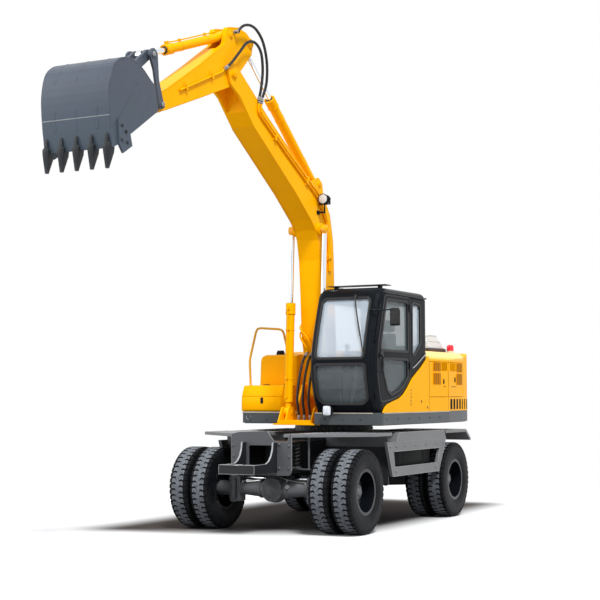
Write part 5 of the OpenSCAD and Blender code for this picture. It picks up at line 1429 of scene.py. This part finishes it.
def sleeve(name, place, way, body, radius=0.017, length=0.075):
    """A crimped ferrule with its swivel nut, at a hose's end; way leads from the nut into the hose"""
    crimped, waist = radius + 0.005, radius + 0.0035
    profile = [(0.010, 0.0), (radius + 0.002, 0.0), (radius + 0.002, 0.016), (radius - 0.002, 0.020),
               (radius - 0.002, 0.026), (crimped, 0.028), (crimped, 0.036), (waist, 0.038),
               (crimped, 0.040), (crimped, 0.050), (waist, 0.052), (crimped, 0.054),
               (crimped, length - 0.004), (radius, length)]
    piece = lathe(name, profile, place, way, 24)
    return settle(piece, body, zinc, smooth=25)


for name, route in arm_hoses.items():
    low = name == "arm_hose_low"
    points = [at(*point) for point in route]
    hose = pipe(name, smooth_line(points), hose_radius, 5)
    settle(hose, None, rubber, stands_for=("arm_hoses",) if low else ())
    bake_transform(hose)
    sleeve(name + "_ferrule_boom", points[-1], points[-2] - points[-1], "boom")
    sleeve(name + "_ferrule_arm", points[0], points[1] - points[0], "arm")
foot_side = [(0.4353, 2.2266), (0.4642, 2.2186), (0.575, 2.110), (0.650, 1.960), (0.705, 1.800),
             (0.735, 1.620), (0.706, 1.480), (0.690, 1.410), (0.690, 1.380), (0.690, 1.3506)]
for order, y in enumerate((-0.075, 0.005, 0.090)):
    points = [at(x, y, z) for x, z in foot_side]
    hose = pipe(f"foot_hose_{order + 1}", smooth_line(points), hose_radius, 5)
    settle(hose, None, rubber, stands_for=("foot_hoses",) if order == 0 else ())
    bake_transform(hose)
    nut = points[1] + (points[1] - points[2]).normalized() * 0.012
    sleeve(f"foot_hose_{order + 1}_ferrule_boom", nut, points[2] - points[1], "boom")
    sleeve(f"foot_hose_{order + 1}_ferrule_deck", points[-1] + Vector((0, 0, 0.002)), (0, 0, 1), "house",
           length=0.060)
    wrap = -1 if order < 2 else 1
    lift = 0.09 * order if order < 2 else 0.0
    bends = [(0.300, 0.172 * wrap, 2.560 + lift), (0.440, 0.172 * wrap, 2.500 + lift),
             (0.492, 0.165 * wrap, 2.450 + lift), (0.495, y + 0.05 * wrap, 2.370 + lift * 0.5),
             (0.484, y, 2.300), (0.462, y, 2.255), (0.466, y, 2.216)]
    riser = pipe(f"boom_riser_{order + 1}", [at(*bend) for bend in bends], 0.0125)
    settle(riser, "boom", body_yellow)

# Front tray: its two curved cheeks and the beam are cut from thick plate; light grey strips along their cut
# edges, the beam's top and the cross plate's rim are a painted highlight. The beam has a drawbar pin's ring,
# the cross plate a row of bolts.
# This light grey is rubbed paint on the tread plate, and a painted highlight on the tray's and steps' edges
edge_wear_and_highlight_grey = sprayed("edge_wear_and_highlight", (0.36, 0.37, 0.385), gloss=0.36, dust=0.1, edge=0.3)
edges = blank("tray_edge_highlights")
cheek = [(2.400, 0.8455)]
for degrees in range(80, -1, -20):
    angle = math.radians(degrees)
    cheek.append((2.130 - 0.210 * math.cos(angle), 0.8455 + 0.255 * (1 - math.sin(angle))))
for y in (0.215, -0.215):
    for a, b in zip(cheek, cheek[1:]):
        plate_line(a, b, y, 0.003, 0.0205)
    plate_line((1.920, 1.1005), (1.901, 1.1005), y, 0.003, 0.0205)
for y0, y1 in ((-0.2405, -0.070), (0.070, 0.2405)):
    brick(at(2.3295, y0, 0.8455), at(2.4205, y1, 0.8490))
for z in (0.7395, 0.8475):
    brick(at(2.4170, -0.2410, z - 0.002), at(2.4212, 0.2410, z + 0.002))
for y in (-0.2405, 0.2405):
    brick(at(2.4170, y - 0.002, 0.741), at(2.4212, y + 0.002, 0.847))
settle(edges, "undercarriage", edge_wear_and_highlight_grey)
ring_profile = [(0.0305, -0.004), (0.0305, 0.006), (0.050, 0.006), (0.056, 0.001), (0.056, -0.004)]
ring = lathe("drawbar_ring", ring_profile, at(2.376, 0, 0.846), (0, 0, 1))
settle(ring, "undercarriage", edge_wear_and_highlight_grey)
bolts = blank("cross_plate_bolts")
for y, z in ((0.385, 0.790), (0.385, 0.930), (0.385, 1.060), (0.250, 0.790), (0.250, 1.075)):
    for side in (1, -1):
        hexagon(at(1.8183, y * side, z), (1, 0, 0), 0.013, 0.012)
settle(bolts, "undercarriage", axle_grey)
rim_strip = blank("cross_plate_edge")
outline = [(-0.420, 0.760), (-0.420, 1.198), (-0.300, 1.2215), (0.082, 1.2345), (0.180, 1.1055),
           (0.365, 1.1055), (0.390, 1.1995), (0.4195, 1.1995), (0.4195, 0.760)]
for (y0, z0), (y1, z1) in zip(outline, outline[1:]):
    run = Vector((0, y1 - y0, z1 - z0))
    slab(at(1.8165, (y0 + y1) / 2, (z0 + z1) / 2), (0.006, run.length, 0.003),
         (math.atan2(run.z, run.y), 0, 0))
settle(rim_strip, "undercarriage", edge_wear_and_highlight_grey)

# Tread plate: the front fenders and the steps carry a rolled pattern of small lens-shaped bars, so that
# feet don't slip; each bar is a low ridge, worn bright along its top.
tread_pitch, ridge = 0.045, Vector((0, 0, 0.0035))
tread_zones = (("fender_tread", [(0.68, 1.10, 0.50, 1.19), (1.14, 1.76, 0.46, 0.62)], 1.2003),
               ("step_tread", [(-1.04, 0.38, 0.94, 1.19)], 1.1963))
for name, zones, top in tread_zones:
    for side in (1, -1):
        field = blank(f"{name}_{hand(side)}")
        mesh = bmesh.from_edit_mesh(field.data)
        for x0, x1, y0, y1 in zones:
            columns, rows = int((x1 - x0) / tread_pitch), int((y1 - y0) / tread_pitch)
            for i in range(columns):
                for j in range(rows):
                    middle = at(x0 + tread_pitch * (i + 0.5), side * (y0 + tread_pitch * (j + 0.5)), top)
                    long_way = Vector((0.7071, 0.7071 if (i + j) % 2 else -0.7071, 0))
                    short_way = Vector((-long_way.y, long_way.x, 0))
                    rim = (long_way * 0.017, short_way * 0.0055, long_way * -0.017, short_way * -0.0055)
                    corners = [mesh.verts.new(middle + reach) for reach in rim]
                    crest = [mesh.verts.new(middle + long_way * share + ridge)
                             for share in (0.010, -0.010)]
                    first, second, third, fourth = corners
                    for face in ((first, second, crest[0]), (second, crest[1], crest[0]),
                                 (second, third, crest[1]), (third, fourth, crest[1]),
                                 (fourth, crest[0], crest[1]), (fourth, first, crest[0])):
                        mesh.faces.new(face)
                    mesh.faces.new(corners[::-1])
        bmesh.update_edit_mesh(field.data)
        settle(field, "undercarriage", edge_wear_and_highlight_grey)

# Steps: the lower frame is cut from sheet and welded, and its cut edges are painted light, partly rubbed
# and partly a painted highlight; bolts hold it to the brackets and hold the tread box above it.
step_face = 1.2195
for side in (1, -1):
    edges = blank("step_edges_" + hand(side))
    outer = [(0.800, 1.079), (0.625, 0.651), (-0.900, 0.651), (-1.166, 1.079)]
    inner = [(0.600, 0.960), (0.560, 0.765), (-0.850, 0.765), (-0.940, 0.960), (0.600, 0.960)]
    for line in (outer, inner):
        for a, b in zip(line, line[1:]):
            plate_line(a, b, step_face * side, 0.005, 0.003)
    box_line = [(0.500, 1.081), (0.422, 1.194), (-1.098, 1.194), (-1.164, 1.081)]
    for a, b in zip(box_line, box_line[1:]):
        plate_line(a, b, 1.2185 * side, 0.005, 0.003)
    settle(edges, "undercarriage", edge_wear_and_highlight_grey)
    bolts = blank("step_bolts_" + hand(side))
    for x in (-0.800, 0.520):
        hexagon(at(x, step_face * side, 0.707), (0, side, 0), 0.012, 0.010)
    for x in (-1.06, -0.80, -0.45, -0.10, 0.25, 0.52, 0.70):
        hexagon(at(x, step_face * side, 1.020), (0, side, 0), 0.011, 0.010)
    settle(bolts, "undercarriage", step_grey)

# Axles: cast differential housings with a bolted cover in front, a filler plug and a drain plug, welded
# bands along the arms, kingpin covers, and a brake pipe clipped along the top.
kingpin_y = 0.600
for label, axle, face, last, thin in (("front", axle_x, 1, 0.44, (0.110, 0.038, 0.42)),
                                      ("rear", -axle_x, -1, 0.62, (0.115, 0.035, 0.63))):
    cover_profile = [(0.0, 0.172), (0.045, 0.170), (0.085, 0.150), (0.112, 0.122), (0.120, 0.118),
                     (0.146, 0.116), (0.150, 0.110), (0.150, 0.082), (0.144, 0.078)]
    cover = lathe(f"differential_cover_{label}", cover_profile,
                  at(axle, 0, tyre_radius), (face, 0, 0), 48)
    reopen(cover)
    for k in range(12):
        angle = math.pi / 6 * k + 0.1
        hexagon(at(axle + 0.117 * face, 0.132 * math.cos(angle), tyre_radius + 0.132 * math.sin(angle)),
                (face, 0, 0), 0.009, 0.010)
    hexagon(at(axle + 0.168 * face, 0.030, tyre_radius - 0.030), (face, 0, 0), 0.016, 0.012)
    settle(cover, "undercarriage", axle_grey)
    plug_profile = [(0.0, 0.012), (0.012, 0.012), (0.013, 0.018), (0.024, 0.018), (0.027, 0.014),
                    (0.027, -0.030)]
    plug = lathe(f"level_plug_{label}", plug_profile, at(axle + 0.098 * face, 0.215, 0.545),
                 (face, 0, 0.25), 24)
    settle(plug, "undercarriage", zinc)
    for side in (1, -1):
        for count, y in enumerate((0.175, last)):
            radius = thin[0] - thin[1] * (y - 0.09) / thin[2] + 0.001
            band_profile = [(radius - 0.004, 0.0), (radius + 0.008, 0.002), (radius + 0.010, 0.008),
                            (radius + 0.010, 0.022), (radius + 0.008, 0.028), (radius - 0.004, 0.030)]
            band = lathe(f"axle_band_{label}_{hand(side)}_{count + 1}", band_profile,
                         at(axle, y * side, tyre_radius), (0, side, 0), 40)
            settle(band, "undercarriage", axle_grey)
        pipe_line = [at(axle + 0.05 * face, y * side, z)
                     for y, z in ((0.10, 0.655), (0.19, 0.628), (0.30, 0.612), (last, 0.600))]
        tube = pipe(f"brake_pipe_{label}_{hand(side)}", pipe_line, 0.005)
        reopen(tube)
        for spot in (pipe_line[1], pipe_line[3]):
            slab(spot - Vector((0, 0, 0.008)), (0.018, 0.020, 0.030))
        settle(tube, "undercarriage", zinc)
for side in (1, -1):
    for z, way in ((0.6652, 1), (0.3528, -1)):
        cover_name = f"kingpin_cover_{hand(side)}_{'top' if way > 0 else 'foot'}"
        cover_profile = [(0.0, 0.016), (0.010, 0.016), (0.012, 0.011), (0.036, 0.011), (0.044, 0.008),
                         (0.050, 0.006), (0.050, -0.004)]
        cover = lathe(cover_name, cover_profile, at(axle_x, kingpin_y * side, z), (0, 0, way), 36)
        reopen(cover)
        for k in range(6):
            angle = math.pi / 3 * k + 0.3
            hexagon(at(axle_x + 0.030 * math.cos(angle), kingpin_y * side + 0.030 * math.sin(angle),
                       z + 0.011 * way), (0, 0, way), 0.006, 0.006)
        settle(cover, "undercarriage", zinc)

# Behind the cross plate on the left: the coiled supply line of the brakes and the upright rod beside it,
# both hung from the fender plate; a bracket holds each foot against the beam.
turns, coil_radius, coil_height, per_turn = 7, 0.040, 0.300, 12
coil_points = []
for k in range(turns * per_turn + 1):
    angle = 2 * math.pi * k / per_turn
    coil_points.append(at(1.640 + coil_radius * math.cos(angle), 0.395 + coil_radius * math.sin(angle),
                          0.800 + coil_height * k / (turns * per_turn)))
coil = pipe("coiled_line", coil_points, 0.0085)
settle(coil, "undercarriage", rubber)
rod_profile = [(0.0, 0.0), (0.016, 0.0), (0.016, 0.020), (0.0125, 0.022), (0.0125, 0.340), (0.018, 0.342),
               (0.018, 0.400), (0.0, 0.400)]
rod = lathe("hanging_rod", rod_profile, at(1.560, 0.520, 0.7595), (0, 0, 1), 24)
reopen(rod)
brick(at(1.540, 0.300, 0.762), at(1.580, 0.540, 0.776))
brick(at(1.600, 0.300, 0.785), at(1.680, 0.440, 0.799))
settle(rod, "undercarriage", axle_grey)

# Drive line: forged joints with four caps each and a ring of bolts join the tubes; the gearbox between
# them is cast with upright ribs and hangs on four bolts.
joints = blank("shaft_joints")
for x in (-1.235, -0.300, 0.360, 1.235):
    for angle in (0, 90):
        peg(at(x, 0, tyre_radius), 0.024, 0.150, 20, (math.radians(angle), 0, 0))
    for k in range(6):
        turn = math.pi / 3 * k
        hexagon(at(x + 0.032, 0.050 * math.cos(turn), tyre_radius + 0.050 * math.sin(turn)), (1, 0, 0),
                0.007, 0.007)
settle(joints, "undercarriage", zinc)
ribs = blank("gearbox_ribs")
for x in (-0.24, -0.08, 0.08, 0.24):
    for side in (1, -1):
        brick(at(x - 0.006, 0.149 * side - 0.006, 0.405), at(x + 0.006, 0.149 * side + 0.010, 0.600))
for x in (-0.150, 0.150):
    for y in (-0.250, 0.250):
        hexagon(at(x, y, 0.6092), (0, 0, -1), 0.014, 0.012)
settle(ribs, "undercarriage", shaft_grey)

# Slewing ring: a forged ring on which the house turns; the heads of its zinc-plated bolts stand all round
# its edge.
bolts = blank("slew_ring_bolts")
ring_middle, ring_radius = (-0.180, 0.0), 0.5205
for k in range(32):
    turn = 2 * math.pi * k / 32
    out = Vector((math.cos(turn), math.sin(turn), 0))
    hexagon(at(*ring_middle, 1.232) + out * ring_radius, out, 0.010, 0.008)
settle(bolts, "undercarriage", zinc)

# Fuel tank: pressed from sheet with wide round edges, welded and sprayed like the hood; its outer side
# leans in a little towards the top.
tank = blank("round_fuel_tank")
mesh = bmesh.from_edit_mesh(tank.data)
tank_foot, tank_top = 1.4505, 2.2300
foot_corners = ((-0.585, -1.210), (-0.222, -1.210), (-0.222, -0.585), (-0.585, -0.585))
top_corners = ((-0.585, -1.192), (-0.240, -1.192), (-0.240, -0.585), (-0.585, -0.585))
low = [mesh.verts.new(at(x, y, tank_foot)) for x, y in foot_corners]
high = [mesh.verts.new(at(x, y, tank_top)) for x, y in top_corners]
for a in range(4):
    mesh.faces.new((low[a - 1], low[a], high[a], high[a - 1]))
mesh.faces.new(low[::-1])
mesh.faces.new(high)
bmesh.update_edit_mesh(tank.data)
bpy.ops.mesh.select_mode(type="EDGE")
for edge in mesh.edges:
    a, b = edge.verts[0].co, edge.verts[1].co
    mid = (a + b) / 2
    upright = abs(a.z - b.z) > 0.5
    top = min(a.z, b.z) > 2.2
    front = mid.x > at(-0.3, 0, 0).x
    outside = mid.y < at(0, -1.0 if upright else -1.1, 0).y
    edge.select_set((upright or top) and (front or outside))
bmesh.update_edit_mesh(tank.data)
bpy.ops.mesh.bevel(offset=0.090, segments=7)
bpy.ops.mesh.select_mode(type="VERT")
settle(tank, "house", body_yellow, stands_for=("fuel_tank",), smooth=45)

# Tool box: a shell of pressed sheet, welded and sprayed like the hood, with its front leaning back in two
# steps and every outer edge rounded.
box_corners = ((-0.2145, 1.4505), (0.2345, 1.4505), (0.2300, 1.640), (0.1400, 1.7895), (-0.2145, 1.7895))
box = cut_plate("round_tool_box", [at(x, -1.208, z) for x, z in box_corners], (0, 0.623, 0), 0.030)
settle(box, "house", body_yellow, stands_for=("tool_box",), smooth=50)

# Boxes behind the steps: the batteries and the air bottle stand in closed sheet boxes with a hinged lid,
# held to the step's brackets; a band goes round each.
# The boxes are painted near-black: painted shade for the step's deep, dark opening
box_black = sprayed("box_black", (0.004, 0.0045, 0.005), gloss=0.5, dust=0.02, edge=0.3,
                    edge_colour=(0.03, 0.032, 0.035), shine=0.05)
for side in (1, -1):
    box = blank("step_box_" + hand(side))
    near, far = sorted((0.640 * side, 1.150 * side))
    brick(at(-0.765, near, 0.700), at(0.470, far, 1.055))
    soften(box, 0.014, 2)
    reopen(box)
    for x in (-0.550, 0.240):
        near, far = sorted((0.636 * side, 1.154 * side))
        brick(at(x, near, 0.696), at(x + 0.040, far, 1.059))
    for x in (-0.36, 0.05):
        near, far = sorted((1.150 * side, 1.160 * side))
        brick(at(x, near, 0.985), at(x + 0.050, far, 1.045))
    settle(box, "undercarriage", box_black)
